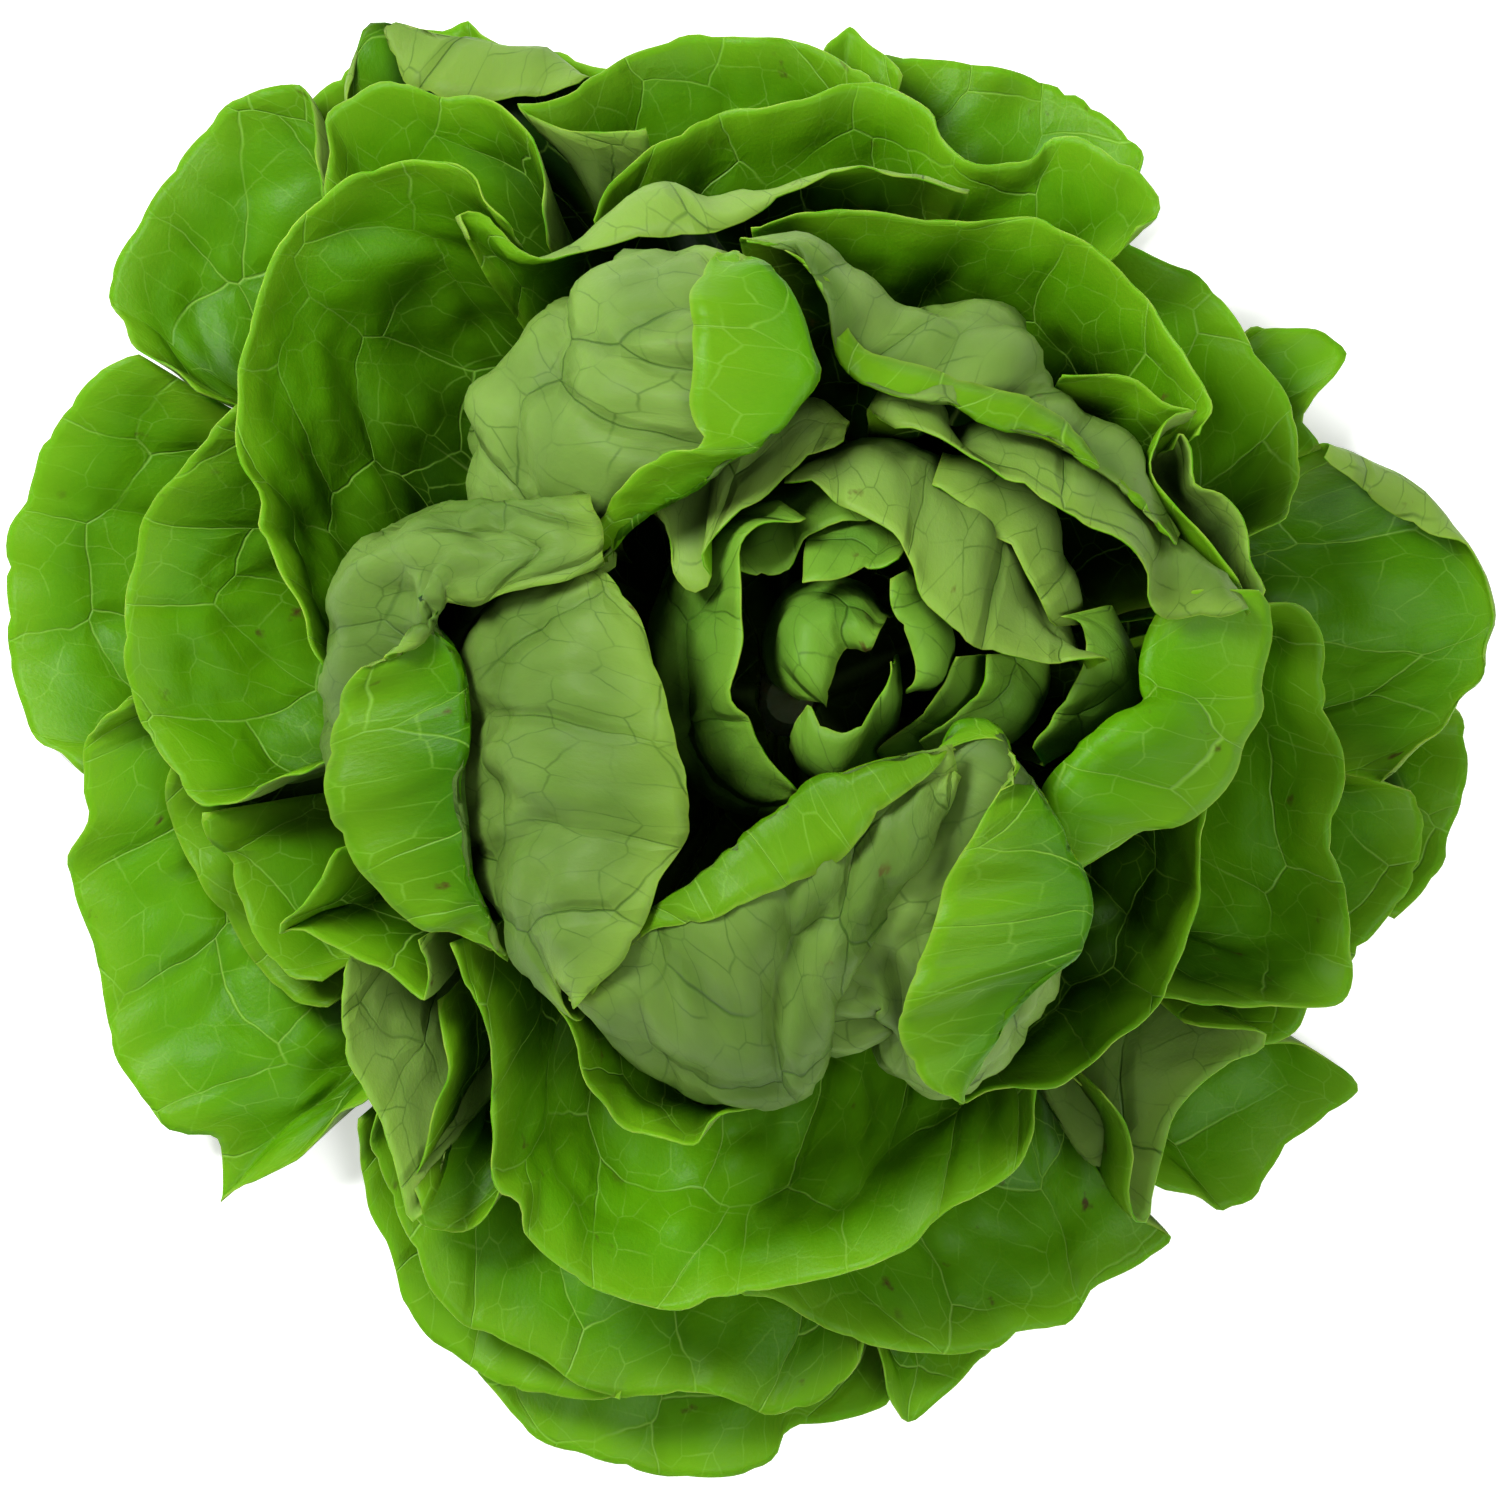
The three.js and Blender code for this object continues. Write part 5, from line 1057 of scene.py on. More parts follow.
# The downless underside, which gives the eye a matt pale grey-green. Its thin veins are darker than the
# panels between them.
MATT = SkinFinish(
    deep="3a5419",
    fresh="5f7b34",
    painted_shade_colour="1c360a",
    margin="67862a",
    vein="233f0c",
    rib="8b9f66",
    edge_line="6a8428",
    spot="453f18",
    roughness=0.5,
    gloss=0.1,
    painted_shade_share=0.6,
    patch=24 * MM,
    mottle=0.5,
    glow=9 * MM,
    glow_share=0.5,
    line=0.5 * MM,
    line_share=0.4,
    main_vein=0.65,
    fine_vein=0.5,
    sunk=0.8,
    valley=2.2,
    valley_painted_shade=0.4,
)

# The underside of the youngest leaves: thinner skin that lets more green through, which gives the eye a
# fresher and darker green than the grown underside.
YOUNG = replace(MATT, deep="234a0a", fresh="4b7220", painted_shade_colour="0f2a02", margin="5f8724", painted_shade_share=0.2)


@dataclass(frozen=True)
class Flesh:
    """What all faces of a blade share: how far light goes in it, its relief, its blemishes and where
    painted shade starts.
    """

    reach: tuple[float, float, float] = (0.45, 1.0, 0.12)
    depth: float = 1.6 * MM
    weight: float = 0.3
    ior: float = 1.42
    grain: float = 0.8 * MM  # of the skin, drawn coarser than its cells, which wouldn't show
    grain_share: float = 0.12
    relief: float = 0.35 * MM
    rib: float = 2.6 * MM  # half the width of the midrib at the neck
    spot: float = 7 * MM  # between blemishes
    spot_field: float = 45 * MM  # between the places that have them
    patch_noise: tuple[float, float] = (0.3, 0.7)  # each pair: the noise that gives 0, and that gives 1
    grain_noise: tuple[float, float] = (0.2, 0.8)
    rim_noise: tuple[float, float] = (0.35, 0.65)
    spot_noise: tuple[float, float] = (0.70, 0.78)
    field_noise: tuple[float, float] = (0.52, 0.60)
    shelter_start: float = 0.48  # the share of sky hidden where the painted shade begins
    shelter_full: float = 0.88


class LeafFinishes:
    """The materials of the leaves."""

    def __init__(self) -> None:
        """Builds the materials of the upper face, the undersides and the margin."""
        self.flesh = Flesh()
        self.upper = self._face("leaf_skin_waxy", WAXY)
        self.under = self._face("leaf_skin_matt", MATT)
        self.young = self._face("leaf_skin_young", YOUNG)
        self.rim = self._rim(WAXY)

    @staticmethod
    def _start(name: str) -> tuple[bpy.types.NodeTree, bpy.types.Node, bpy.types.Material]:
        """Makes an empty material with its shader and output."""
        material = bpy.data.materials.new(name)
        material.use_nodes = True
        tree = material.node_tree
        tree.nodes.clear()
        shader = tree.nodes.new("ShaderNodeBsdfPrincipled")
        add_node(tree, "ShaderNodeOutputMaterial", {"Surface": shader.outputs[0]})
        return tree, shader, material

    @staticmethod
    def _patches(
        tree: bpy.types.NodeTree, place: Any, size: float, noise_range: tuple[float, float]
    ) -> Any:
        """Soft patches over the leaf.

        Args:
            tree: the material's tree.
            place: the output that gives the place on the leaf.
            size: size of a patch, in metres.
            noise_range: the noise that gives 0, and that gives 1.

        Returns:
            A share from 0 to 1.
        """
        waves = {"Vector": place, "Scale": 1 / size, "Detail": 4.0}
        noise = add_node(tree, "ShaderNodeTexNoise", waves, noise_dimensions="2D").outputs[0]
        limits = {"Value": noise, "From Min": noise_range[0], "From Max": noise_range[1]}
        return add_node(tree, "ShaderNodeMapRange", limits).outputs[0]

    def _spots(self, tree: bpy.types.NodeTree, place: Any) -> Any:
        """Small blemishes, in a few places only.

        Args:
            tree: the material's tree.
            place: the output that gives the place on the leaf.

        Returns:
            A share from 0 to 1.
        """
        small = self._patches(tree, place, self.flesh.spot, self.flesh.spot_noise)
        where = self._patches(tree, place, self.flesh.spot_field, self.flesh.field_noise)
        return add_node(tree, "ShaderNodeMath", {0: small, 1: where}, operation="MULTIPLY").outputs[0]

    @staticmethod
    def _band(tree: bpy.types.NodeTree, edge: Any, width: float, strongest: float) -> Any:
        """A band along the margin that fades inwards.

        Args:
            tree: the material's tree.
            edge: the output that gives the distance from the margin, in metres.
            width: of the band, in metres.
            strongest: what it gives at the margin.

        Returns:
            The share of band.
        """
        limits = {"Value": edge, "From Min": 0.0, "From Max": width, "To Min": strongest, "To Max": 0.0}
        return add_node(tree, "ShaderNodeMapRange", limits, interpolation_type="SMOOTHSTEP").outputs[0]

    def _painted_fold_shade(self, tree: bpy.types.NodeTree, strongest: float) -> Any:
        """Painted shade: the dark green put deep in the folds between leaves, where they hide the sky.

        Args:
            tree: the material's tree.
            strongest: the share of painted shade where a leaf is hidden from the sky.

        Returns:
            The share of painted shade.
        """
        shelter = add_node(tree, "ShaderNodeAttribute", attribute_name="shelter").outputs["Fac"]
        limits = {
            "Value": shelter,
            "From Min": self.flesh.shelter_start,
            "From Max": self.flesh.shelter_full,
            "To Min": 0.0,
            "To Max": strongest,
        }
        return add_node(tree, "ShaderNodeMapRange", limits, interpolation_type="SMOOTHSTEP").outputs[0]

    @staticmethod
    def _midrib(tree: bpy.types.NodeTree, across: Any, fade: Any, width: float) -> Any:
        """The midrib, which narrows to nothing up the leaf.

        Args:
            tree: the material's tree.
            across: the output that gives the distance from the leaf's middle, in metres.
            fade: the output that is 1 at the neck and 0 where the rib is lost.
            width: half its width at the neck, in metres.

        Returns:
            The share of midrib.
        """
        away = add_node(tree, "ShaderNodeMath", {0: across}, operation="ABSOLUTE").outputs[0]
        reach = add_node(tree, "ShaderNodeMath", {0: fade, 1: width}, operation="MULTIPLY").outputs[0]
        limits = {"Value": away, "From Min": 0.0, "From Max": reach, "To Min": 1.0, "To Max": 0.0}
        line = add_node(tree, "ShaderNodeMapRange", limits, interpolation_type="SMOOTHSTEP").outputs[0]
        return add_node(tree, "ShaderNodeMath", {0: line, 1: fade}, operation="MULTIPLY").outputs[0]

    @staticmethod
    def _coats(
        tree: bpy.types.NodeTree, shader: bpy.types.Node, ground: str, coats: list[tuple[Any, str]]
    ) -> None:
        """Colours a shader with a ground and coats over it, from the lowest to the topmost.

        Args:
            tree: the material's tree.
            shader: its shader.
            ground: the colour under all coats.
            coats: for each coat, the output that gives its share, and its colour.
        """
        colour: Any = linear(ground)
        for share, paint in coats:
            inputs = {0: share, 6: colour, 7: linear(paint)}
            colour = add_node(tree, "ShaderNodeMix", inputs, data_type="RGBA", clamp_factor=True).outputs[2]
        tree.links.new(colour, shader.inputs["Base Color"])

    def _face(self, name: str, finish: SkinFinish) -> bpy.types.Material:
        """The skin of one face of the blade.

        Args:
            name: the material's name.
            finish: its colours and sizes.

        Returns:
            The material.
        """
        tree, shader, material = self._start(name)
        place = add_node(tree, "ShaderNodeAttribute", attribute_name="leaf_place").outputs["Vector"]
        tone = add_node(tree, "ShaderNodeAttribute", attribute_name="tone").outputs["Fac"]
        shape = add_node(tree, "ShaderNodeAttribute", attribute_name="leaf_shape").outputs["Vector"]
        across, edge, fade = add_node(tree, "ShaderNodeSeparateXYZ", {0: shape}).outputs
        patches = self._patches(tree, place, finish.patch, self.flesh.patch_noise)
        mottled = {0: patches, 1: finish.mottle, 2: tone}
        lift = add_node(tree, "ShaderNodeMath", mottled, operation="MULTIPLY_ADD").outputs[0]
        main_course = MAIN_VEINS.course(tree, place)
        fine_course = FINE_VEINS.course(tree, place)
        main = MAIN_VEINS.lines(tree, main_course, MAIN_VEINS.width, finish.main_vein)
        fine = FINE_VEINS.lines(tree, fine_course, FINE_VEINS.width, finish.fine_vein)
        valleys = MAIN_VEINS.lines(tree, main_course, VALLEY_WIDTH, 1.0)
        # The green in the dips along the main veins is deepened as painted shade.
        valley_shade_inputs = {0: valleys, 1: finish.valley_painted_shade}
        dips = add_node(tree, "ShaderNodeMath", valley_shade_inputs, operation="MULTIPLY").outputs[0]
        coats = [
            (lift, finish.fresh),
            # painted shade: deeper green in the dips along the main veins
            (dips, finish.deep),
            # painted shade: dark green where the leaves hide the sky
            (self._painted_fold_shade(tree, finish.painted_shade_share), finish.painted_shade_colour),
            (self._band(tree, edge, finish.glow, finish.glow_share), finish.margin),
            (fine, finish.vein),
            (main, finish.vein),
            (self._midrib(tree, across, fade, self.flesh.rib), finish.rib),
            (self._band(tree, edge, finish.line, finish.line_share), finish.edge_line),
            (self._spots(tree, place), finish.spot),
        ]
        self._coats(tree, shader, finish.deep, coats)
        self._skin(tree, shader, place, [(main, finish.sunk), (valleys, finish.valley)])
        self._lit_through(shader, finish)
        return material

    def _rim(self, finish: SkinFinish) -> bpy.types.Material:
        """The thin margin of the blade, where light comes through: a pale line.

        Args:
            finish: colours of the upper face.

        Returns:
            The material.
        """
        tree, shader, material = self._start("leaf_margin")
        place = add_node(tree, "ShaderNodeAttribute", attribute_name="leaf_place").outputs["Vector"]
        patches = self._patches(tree, place, FINE_VEINS.size, self.flesh.rim_noise)
        self._coats(tree, shader, finish.fresh, [(patches, finish.edge_line)])
        self._lit_through(shader, finish)
        return material

    def _skin(
        self, tree: bpy.types.NodeTree, shader: bpy.types.Node, place: Any, dips: list[tuple[Any, float]]
    ) -> None:
        """The fine relief of a leaf's skin.

        Args:
            tree: the material's tree.
            shader: its shader.
            place: the output that gives the place on the leaf.
            dips: for each kind of dip, the output that gives its share, and how far it is sunk.
        """
        grain = self._patches(tree, place, self.flesh.grain, self.flesh.grain_noise)
        grained = {0: grain, 1: self.flesh.grain_share}
        height = add_node(tree, "ShaderNodeMath", grained, operation="MULTIPLY").outputs[0]
        for share, depth in dips:
            sunk = {0: share, 1: -depth, 2: height}
            height = add_node(tree, "ShaderNodeMath", sunk, operation="MULTIPLY_ADD").outputs[0]
        relief = {"Height": height, "Strength": 1.0, "Distance": self.flesh.relief}
        bump = add_node(tree, "ShaderNodeBump", relief).outputs[0]
        tree.links.new(bump, shader.inputs["Normal"])

    def _lit_through(self, shader: bpy.types.Node, finish: SkinFinish) -> None:
        """Sets the gloss, and lets light into the thin blade, where green goes furthest.

        Args:
            shader: the material's shader.
            finish: the finish that gives the gloss.
        """
        flesh = self.flesh
        shader.inputs["Roughness"].default_value = finish.roughness
        shader.inputs["Specular IOR Level"].default_value = finish.gloss
        shader.inputs["Subsurface Weight"].default_value = flesh.weight
        shader.inputs["Subsurface Radius"].default_value = flesh.reach
        shader.inputs["Subsurface Scale"].default_value = flesh.depth
        shader.inputs["IOR"].default_value = flesh.ior


@dataclass(frozen=True)
class FamilyLook:
    """How the leaves of one family look."""

    slot: str
    tone: float  # from the deepest green to the freshest
    swell: float  # how strongly it is puckered, below 0 where it swells towards its underside
    ripple: float  # how strongly its margin is waved
    lump: float = 1.0  # how large its lumps and creases are


LOOKS = {
    Family.BACK: FamilyLook("back_leaf", 1.1, 0.55, 1.0),
    Family.OUTER: FamilyLook("outer_leaf", 0.65, 0.6, 0.9),
    Family.CUP: FamilyLook("cup_leaf", 0.85, 0.7, 0.7),
    Family.WRAP: FamilyLook("wrap_leaf", 0.3, -1.15, 0.9, 0.62),
    Family.HEART: FamilyLook("heart_leaf", 0.85, -0.6, 1.1, 0.6),
}


# The outermost leaves of the heart, whose undersides are as pale as the wrapping leaves'.
PALE_HEARTS = ("heart_leaf_cap", "heart_leaf_top_fold", "heart_leaf_upper_right_back")


class Room:
    """The middle surfaces of all leaves, to find how much air a leaf has on each side."""

    start: float = 0.25  # a ray starts this far off its own leaf
    most: float = 9.0
    roof: float = 90.0  # a leaf further off than this gives no shelter
    sky_rays: int = 20
    lowest_ray: float = 0.25  # the sine of its climb
    stride: int = 4  # points from one tested point to the next

    def __init__(self, sheets: list[np.ndarray]) -> None:
        """Builds one tree of all surfaces.

        Args:
            sheets: a grid of points for each leaf, in millimetres.
        """
        points = []
        faces = []
        for sheet in sheets:
            rows, columns = sheet.shape[:2]
            index = np.arange(rows * columns).reshape(rows, columns) + sum(len(p) for p in points)
            corners = [index[:-1, :-1], index[1:, :-1], index[1:, 1:], index[:-1, 1:]]
            faces.extend(np.stack(corners, -1).reshape(-1, 4).tolist())
            points.append(sheet.reshape(-1, 3))
        self.tree = BVHTree.FromPolygons(np.concatenate(points).tolist(), faces)

    def ahead(self, points: np.ndarray, ways: np.ndarray) -> np.ndarray:
        """How far each point may go before it meets a leaf.

        Args:
            points: a grid of points.
            ways: a direction of length 1 to each point.

        Returns:
            The distance to each point, no more than the most that is looked for.
        """
        starts = (points + ways * self.start).reshape(-1, 3).tolist()
        found = np.full(len(starts), self.most)
        for number, (start, way) in enumerate(zip(starts, ways.reshape(-1, 3).tolist())):
            distance = self.tree.ray_cast(start, way, self.most)[3]
            if distance is not None:
                found[number] = distance + self.start
        return found.reshape(points.shape[:2])

    def shelter(self, points: np.ndarray, ways: np.ndarray) -> np.ndarray:
        """How much of the sky is hidden from each point by leaves, its own among them.

        Args:
            points: a grid of points.
            ways: the direction off the leaf to each point, of length 1.

        Returns:
            The share of the sky that is hidden.
        """
        climbs = np.linspace(self.lowest_ray, 1, self.sky_rays)
        turns = np.arange(self.sky_rays) * math.pi * (3 - math.sqrt(5))
        flat = np.sqrt(1 - climbs**2)
        rays = np.stack([flat * np.cos(turns), flat * np.sin(turns), climbs], axis=-1).tolist()
        rows, columns = (
            np.append(np.arange(0, count - 1, self.stride), count - 1) for count in points.shape[:2]
        )
        starts = (points + ways * self.start)[np.ix_(rows, columns)]
        hidden = [
            sum(self.tree.ray_cast(start, ray, self.roof)[0] is not None for ray in rays)
            for start in starts.reshape(-1, 3).tolist()
        ]
        coarse = np.array(hidden).reshape(len(rows), len(columns)) / self.sky_rays
        wide = np.array([np.interp(np.arange(points.shape[1]), columns, line) for line in coarse])
        return np.array([np.interp(np.arange(points.shape[0]), rows, line) for line in wide.T]).T


@dataclass
class Blade:
    """Draws a bent leaf as a fine solid blade. Lengths are in millimetres."""

    finishes: LeafFinishes
    relief: Relief = Relief()
    spacing: float = 1.9
    fewest: int = 24
    most: int = 110
    detail_fade: float = 18.0  # how far in the detail of the margin is felt
    thin_rim: float = 5.0  # how far in the blade is thinned to its margin
    rim_share: float = 0.32  # of the blade's thickness that is left at the margin
    rib_height: float = 1.6
    rib_width: float = 2.4
    rib_end: float = 0.62  # where the midrib is lost, of the leaf's length
    waves: tuple[float, ...] = (37.0, 23.0, 14.0, 9.0)
    wave_share: float = 0.022  # a wave's height, of its length
    wave_fade: float = 8.0
    shortest_lobe: float = 5.0  # between the notches of the margin
    longest_lobe: float = 15.0
    most_lobes: int = 64
    lobe_bluntness: float = 0.4  # below 1, a lobe is blunter and the notch beside it narrower
    notch: float = 1.5
    least_notch: float = 0.2  # the shallowest, of the deepest
    least_wave: float = 0.4  # the lowest, of the highest
    notch_fade: float = 2.5
    still: float = 15.0  # how far from the neck the blade stays smooth
    freed: float = 40.0  # where it is fully puckered
    calm_margin: float = 20.0  # the blade is less puckered this near its margin
    least_free: float = 0.3
    tone_range: float = 0.18  # how far one leaf's tone is from its family's
    spare: float = 1.1  # kept between the middle surfaces of two blades
    tree: bpy.types.GeometryNodeTree = field(init=False)

    def __post_init__(self) -> None:
        """Builds the relief tree that all leaves share."""
        self.tree = self.relief.tree(self.finishes.upper)

    def build(self, leaf: Leaf, sheet: tuple[np.ndarray, dict], room: Room) -> bpy.types.Object:
        """Makes one leaf.

        Args:
            leaf: the bent leaf.
            sheet: its fine middle surface and the numbers stored on it.
            room: the middle surfaces of all leaves, which limit its swellings.

        Returns:
            The finished object, as a plain mesh.
        """
        look = LOOKS[leaf.family]
        points, values = sheet
        wished = self._relieved(leaf, points, values, look)
        normals = grid_normals(points)
        lift = np.sum((wished - points) * normals, axis=-1)
        above = room.ahead(points, normals) - self.spare
        below = room.ahead(points, -normals) - self.spare
        lift = self._evened(np.clip(lift, -np.maximum(below, 0) / 2, np.maximum(above, 0) / 2))
        middle = points + normals * lift[..., None]
        middle[..., 2] = np.maximum(middle[..., 2], GROWTH.blade)
        # How much sky each face has hidden, which sets where shade is painted on it
        shelter = np.concatenate([room.shelter(points, normals), room.shelter(points, -normals)])
        return self._shell(leaf, middle, values, shelter)

    @staticmethod
    def _evened(heights: np.ndarray) -> np.ndarray:
        """Evens out a grid of heights where a close neighbour cuts a swelling short."""
        wide = np.pad(heights, 1, mode="edge")
        beside = wide[:-2, 1:-1] + wide[2:, 1:-1] + wide[1:-1, :-2] + wide[1:-1, 2:]
        return (beside + 2 * heights) / 6

    def sheet(self, leaf: Leaf, seed: int) -> tuple[np.ndarray, dict]:
        """The leaf's fine middle surface.

        Args:
            leaf: the bent leaf.
            seed: the seed of its ripples and of where its patterns start.

        Returns:
            Points in millimetres, and the numbers stored on them by name, with their lengths in metres.
        """
        random = np.random.default_rng(seed)
        look = LOOKS[leaf.family]
        length = leaf.steps[-1]
        coarse = Curve(leaf.grid.transpose(1, 0, 2), np.arange(leaf.columns + 1.0))
        widths = np.linalg.norm(np.diff(leaf.grid, axis=1), axis=-1).sum(axis=1)
        columns = int(np.clip(widths.max() / self.spacing, self.fewest, self.most))
        rows = int(np.clip(length / self.spacing, self.fewest, self.most))
        across = np.linspace(0, 1, columns + 1)
        along = np.linspace(0, 1, rows + 1)
        fine = coarse.at(across * leaf.columns).transpose(1, 0, 2)
        points = Curve(fine, leaf.steps).at(along * length)
        points += leaf.detail(across, along * length, self.detail_fade)
        width = np.interp(along * length, leaf.steps, widths)
        side = (across[None, :] - 0.5) * width[:, None]
        down = np.broadcast_to((along * length)[:, None], side.shape)
        to_side = (0.5 - np.abs(across - 0.5))[None, :] * width[:, None]
        edge = np.minimum(length - down, to_side)
        points = self._rippled(points, edge, side, look.ripple, random)
        start = random.uniform(-1, 1, 2)
        fade = np.clip(1 - down / (length * self.rib_end), 0, 1)
        calm = self.least_free + (1 - self.least_free) * np.clip(edge / self.calm_margin, 0, 1)
        values = {
            "leaf_place": np.stack(
                [side * MM + start[0], down * MM + start[1], np.zeros_like(side)], axis=-1
            ),
            "leaf_shape": np.stack([side * MM, edge * MM, fade], axis=-1),
            "thin": np.exp(-edge / self.thin_rim),
            "rib": np.exp(-((side / self.rib_width) ** 2)) * fade,
            "free": np.clip((down - self.still) / (self.freed - self.still), 0, 1) * calm,
            "tone": np.full(side.shape, look.tone + random.uniform(-self.tone_range, self.tone_range)),
        }
        return points, values

    def _rippled(
        self,
        points: np.ndarray,
        edge: np.ndarray,
        side: np.ndarray,
        share: float,
        random: np.random.Generator,
    ) -> np.ndarray:
        """Waves the blade towards its margin, and notches the margin between shallow lobes.

        Args:
            points: the smooth middle surface.
            edge: distance of each point from the margin.
            side: distance of each point from the midrib.
            share: how strongly this leaf is waved.
            random: the source of the waves and notches.

        Returns:
            The waved points.
        """
        swing = np.zeros_like(side)
        for length in self.waves:
            strength = random.uniform(self.least_wave, 1.0) * share * self.wave_share * length
            swing += strength * np.sin(2 * math.pi * side / length + random.uniform(0, 2 * math.pi))
        out = points + grid_normals(points) * (swing * np.exp(-edge / self.wave_fade))[..., None]
        inwards = points[-2] - points[-1]
        inwards /= np.maximum(np.linalg.norm(inwards, axis=-1, keepdims=True), 1e-9)
        depth = self._notches(side[-1], random)
        out += inwards[None] * (depth[None, :] * np.exp(-edge / self.notch_fade))[..., None]
        out[..., 2] = np.maximum(out[..., 2], GROWTH.blade / 2)
        return out

    def _notches(self, line: np.ndarray, random: np.random.Generator) -> np.ndarray:
        """How deep the margin is cut back along its length.

        Args:
            line: running distance along the margin.
            random: the source of the notches' places and depths.

        Returns:
            A depth to each point.
        """
        lobes = random.uniform(self.shortest_lobe, self.longest_lobe, self.most_lobes)
        starts = line[0] - lobes[0] + np.concatenate([[0.0], np.cumsum(lobes)])
        depths = self.notch * random.uniform(self.least_notch, 1.0, len(starts))
        found = np.clip(np.searchsorted(starts, line) - 1, 0, len(lobes) - 1)
        share = (line - starts[found]) / lobes[found]
        arch = np.clip(4 * share * (1 - share), 0, 1) ** self.lobe_bluntness
        ends = depths[found] * (1 - share) + depths[found + 1] * share
        return ends * (1 - arch)

    def _relieved(self, leaf: Leaf, points: np.ndarray, values: dict, look: FamilyLook) -> np.ndarray:
        """The middle surface with the swellings between its veins.

        Args:
            leaf: the leaf.
            points: its waved middle surface.
            values: stored numbers by name.
            look: how its family looks.

        Returns:
            The points in millimetres.
        """
        mesh = self._mesh(leaf.name + "_middle", points * MM, self._quads(points))
        self._store(mesh, "leaf_place", values["leaf_place"])
        self._store(mesh, "free", values["free"])
        piece = bpy.data.objects.new(leaf.name + "_middle", mesh)
        bpy.context.scene.collection.objects.link(piece)
        modifier = piece.modifiers.new("relief", "NODES")
        modifier.node_group = self.tree
        sizes = self.relief.sizes(look.swell, look.lump)
        for item in self.tree.interface.items_tree:
            if item.in_out == "INPUT" and item.name in sizes:
                modifier[item.identifier] = sizes[item.name]
        graph = bpy.context.evaluated_depsgraph_get()
        plain = bpy.data.meshes.new_from_object(piece.evaluated_get(graph))
        flat = np.empty(points.size, np.float32)
        plain.vertices.foreach_get("co", flat)
        piece.modifiers.remove(modifier)
        bpy.data.objects.remove(piece)
        bpy.data.meshes.remove(mesh)
        bpy.data.meshes.remove(plain)
        return flat.reshape(points.shape).astype(float) / MM

    @staticmethod
    def _quads(points: np.ndarray) -> np.ndarray:
        """One quad to each cell of a grid of points."""
        rows, columns = points.shape[:2]
        index = np.arange(rows * columns).reshape(rows, columns)
        return np.stack([index[:-1, :-1], index[1:, :-1], index[1:, 1:], index[:-1, 1:]], -1).reshape(-1, 4)

    @staticmethod
    def _mesh(name: str, points: np.ndarray, faces: np.ndarray) -> bpy.types.Mesh:
        """A mesh of quads, from points in metres."""
        mesh = bpy.data.meshes.new(name)
        mesh.from_pydata(points.reshape(-1, 3).tolist(), [], faces.tolist())
        return mesh

    @staticmethod
    def _store(mesh: bpy.types.Mesh, name: str, data: np.ndarray) -> None:
        """Stores a number, or a vector where the data's last axis has three, on each point of a mesh."""
        is_vector = data.size == 3 * len(mesh.vertices)
        kind, field_name = ("FLOAT_VECTOR", "vector") if is_vector else ("FLOAT", "value")
        layer = mesh.attributes.new(name, kind, "POINT")
        layer.data.foreach_set(field_name, np.ascontiguousarray(data, np.float32).ravel())

    def _shell(self, leaf: Leaf, middle: np.ndarray, values: dict, shelter: np.ndarray) -> bpy.types.Object:
        """Gives the middle surface its thickness, midrib, rim and materials.

        Args:
            leaf: the leaf.
            middle: its middle surface with all relief.
            values: stored numbers by name.
            shelter: how much of the sky is hidden from its upper face, and then from its lower one.

        Returns:
            The finished object.
        """
        rows, columns = middle.shape[:2]
        normals = grid_normals(middle)
        thin = (GROWTH.blade / 2 * (1 - (1 - self.rim_share) * values["thin"]))[..., None]
        rib = (self.rib_height * values["rib"])[..., None]
        upper = middle + normals * thin
        lower = middle - normals * (thin + rib)
        below = rows * columns
        index = np.arange(below).reshape(rows, columns)
        quads = self._quads(middle)
        ring = np.concatenate([index[0, :-1], index[:-1, -1], index[-1, :0:-1], index[:0:-1, 0]])
        following = np.roll(ring, -1)
        walls = np.stack([ring, following, following + below, ring + below], -1)
        faces = np.concatenate([quads, quads[:, ::-1] + below, walls])
        corners = np.concatenate([upper.reshape(-1, 3), lower.reshape(-1, 3)]) * MM
        corners[:, 2] = np.maximum(corners[:, 2], 0.0)
        mesh = self._mesh(leaf.name, corners, faces)
        is_young = leaf.family is Family.HEART and leaf.name not in PALE_HEARTS
        under = self.finishes.young if is_young else self.finishes.under
        for finish in (self.finishes.upper, under, self.finishes.rim):
            mesh.materials.append(finish)
        slots = np.repeat([0, 1, 2], [len(quads), len(quads), len(walls)])
        mesh.polygons.foreach_set("material_index", slots.astype(np.int32))
        mesh.polygons.foreach_set("use_smooth", np.ones(len(faces), bool))
        for name in ("leaf_place", "leaf_shape", "tone"):
            self._store(mesh, name, np.concatenate([values[name], values[name]]))
        self._store(mesh, "shelter", shelter)
        mesh.update()
        piece = bpy.data.objects.new(leaf.name + "_blade", mesh)
        bpy.context.scene.collection.objects.link(piece)
        return piece


@dataclass(frozen=True)
class Softbox:
    """A square soft light aimed at the head. Lengths are in metres, and the power in watts."""

    name: str
    place: tuple[float, float, float]
    side: float
    power: float

    def build(self) -> None:
        """Adds the light to the scene."""
        data = bpy.data.lights.new(self.name, "AREA")
        data.shape = "SQUARE"
        data.size = self.side
        data.energy = self.power
        lamp = bpy.data.objects.new(self.name, data)
        lamp.location = self.place
        lamp.rotation_euler = (-Vector(self.place)).to_track_quat("-Z", "Y").to_euler()
        bpy.context.scene.collection.objects.link(lamp)


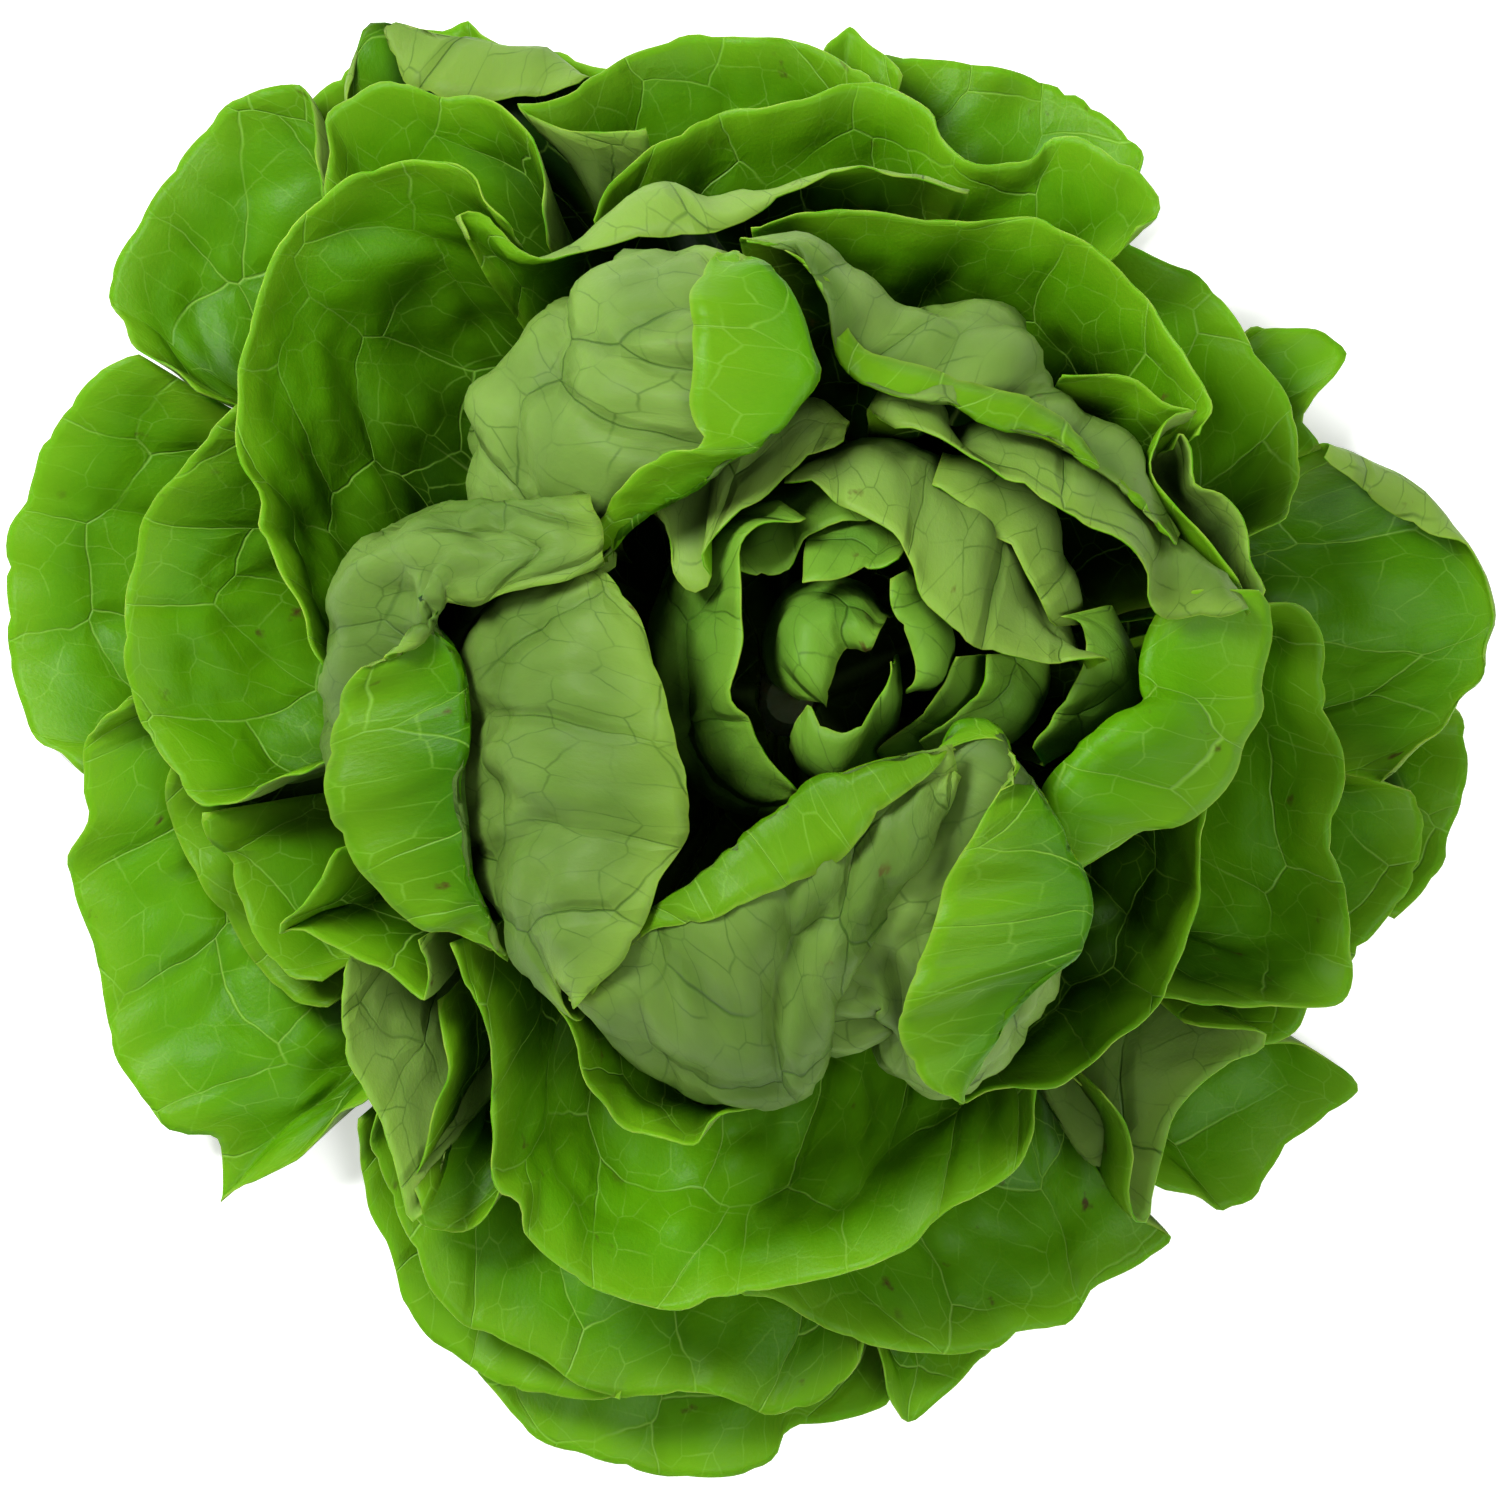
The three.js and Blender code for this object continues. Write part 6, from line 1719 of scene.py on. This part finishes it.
@dataclass(frozen=True)
class Studio:
    """The white sweep, the lights and the camera. Lengths are in metres."""

    floor_side: float = 6.0
    camera_distance: float = 9.0
    sensor: float = 36.0
    aim_height: float = 0.06
    floor_white: str = "fafafa"
    floor_roughness: float = 0.9
    floor_glow: float = 0.5
    sky: float = 0.42
    key: Softbox = Softbox("key_light", (-1.2, 1.05, 1.8), 0.8, 108.0)
    fill: Softbox = Softbox("fill_light", (0.9, -0.9, 1.9), 1.1, 38.0)

    def build(self) -> None:
        """Builds the floor, the lights and the camera."""
        self._floor()
        self._sky()
        self.key.build()
        self.fill.build()
        self._camera()

    def _floor(self) -> None:
        """A plain white floor: matt paper on a light table, which gives the eye an even white."""
        half = self.floor_side / 2
        mesh = bpy.data.meshes.new("floor")
        corners = [(-half, -half, 0), (half, -half, 0), (half, half, 0), (-half, half, 0)]
        mesh.from_pydata(corners, [], [(0, 1, 2, 3)])
        material = bpy.data.materials.new("white_paper_sweep")
        material.use_nodes = True
        shader = material.node_tree.nodes["Principled BSDF"]
        shader.inputs["Base Color"].default_value = linear(self.floor_white)
        shader.inputs["Roughness"].default_value = self.floor_roughness
        shader.inputs["Emission Color"].default_value = linear(self.floor_white)
        shader.inputs["Emission Strength"].default_value = self.floor_glow
        mesh.materials.append(material)
        floor = bpy.data.objects.new("floor", mesh)
        bpy.context.scene.collection.objects.link(floor)

    def _sky(self) -> None:
        """Even white light from all round."""
        world = bpy.data.worlds.new("studio")
        world.use_nodes = True
        world.node_tree.nodes["Background"].inputs["Color"].default_value = (1.0, 1.0, 1.0, 1.0)
        world.node_tree.nodes["Background"].inputs["Strength"].default_value = self.sky
        bpy.context.scene.world = world

    def _camera(self) -> None:
        """A camera straight above, framed so that the plan fills the square picture."""
        data = bpy.data.cameras.new("camera")
        data.sensor_width = self.sensor
        data.lens = self.sensor * self.camera_distance / (PLAN.head_across * MM)
        data.clip_end = 100.0
        camera = bpy.data.objects.new("camera", data)
        middle = PLAN.side / 2
        aim = PLAN.place([[middle, middle, 0]])[0] * MM
        camera.location = (aim[0], aim[1], self.camera_distance + self.aim_height)
        bpy.context.scene.collection.objects.link(camera)
        bpy.context.scene.camera = camera
        bpy.context.scene.view_settings.view_transform = "Standard"


@dataclass
class Butt:
    """The stem with its cut face."""

    frame: dict
    flesh: str = "e6ecc8"
    fibre: str = "c3d08f"
    grain: float = 2.5 * MM
    roughness: float = 0.5
    lit_share: float = 0.3  # how much light goes into the flesh
    lit_depth: float = 3 * MM

    def dress(self) -> None:
        """Gives the solid stem its finish: milky juicy flesh with greener fibres in it."""
        material = bpy.data.materials.new("lettuce_butt_flesh")
        material.use_nodes = True
        tree = material.node_tree
        shader = tree.nodes["Principled BSDF"]
        place = tree.nodes.new("ShaderNodeTexCoord").outputs["Object"]
        waves = {"Vector": place, "Scale": 1 / self.grain, "Detail": 4.0}
        grain = add_node(tree, "ShaderNodeTexNoise", waves).outputs[0]
        blend = add_node(tree, "ShaderNodeMix", {0: grain}, data_type="RGBA")
        blend.inputs[6].default_value = linear(self.flesh)
        blend.inputs[7].default_value = linear(self.fibre)
        tree.links.new(blend.outputs[2], shader.inputs["Base Color"])
        shader.inputs["Roughness"].default_value = self.roughness
        shader.inputs["Subsurface Weight"].default_value = self.lit_share
        shader.inputs["Subsurface Scale"].default_value = self.lit_depth
        stem = self.frame["nodes"]["stem"]
        stem.data.materials.clear()
        stem.data.materials.append(material)


class Head:
    """The whole head: all leaves, bent and drawn."""

    def __init__(self) -> None:
        """Lays out the leaves and bends them clear of each other."""
        last = len(LEAVES) - 1
        self.leaves = [Leaf(entry["name"], entry["rows"], rank / last) for rank, entry in enumerate(LEAVES)]
        Bending().bend(self.leaves)

    def build(self) -> None:
        """Draws every leaf in place of its solid."""
        blade = Blade(LeafFinishes())
        sheets = [blade.sheet(leaf, SEED + number) for number, leaf in enumerate(self.leaves)]
        room = Room([points for points, _ in sheets])
        for leaf, sheet in zip(self.leaves, sheets):
            piece = blade.build(leaf, sheet, room)
            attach(piece, BODY)
            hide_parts(leaf.name)
            LOG.info("%s: %d faces", piece.name, len(piece.data.polygons))


def main() -> None:
    """Builds the head and the studio in order."""
    logging.basicConfig(level=logging.INFO, format="%(name)s: %(message)s")
    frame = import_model()
    Butt(frame).dress()
    Head().build()
    Studio().build()
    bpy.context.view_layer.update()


if __name__ == "__main__":
    main()
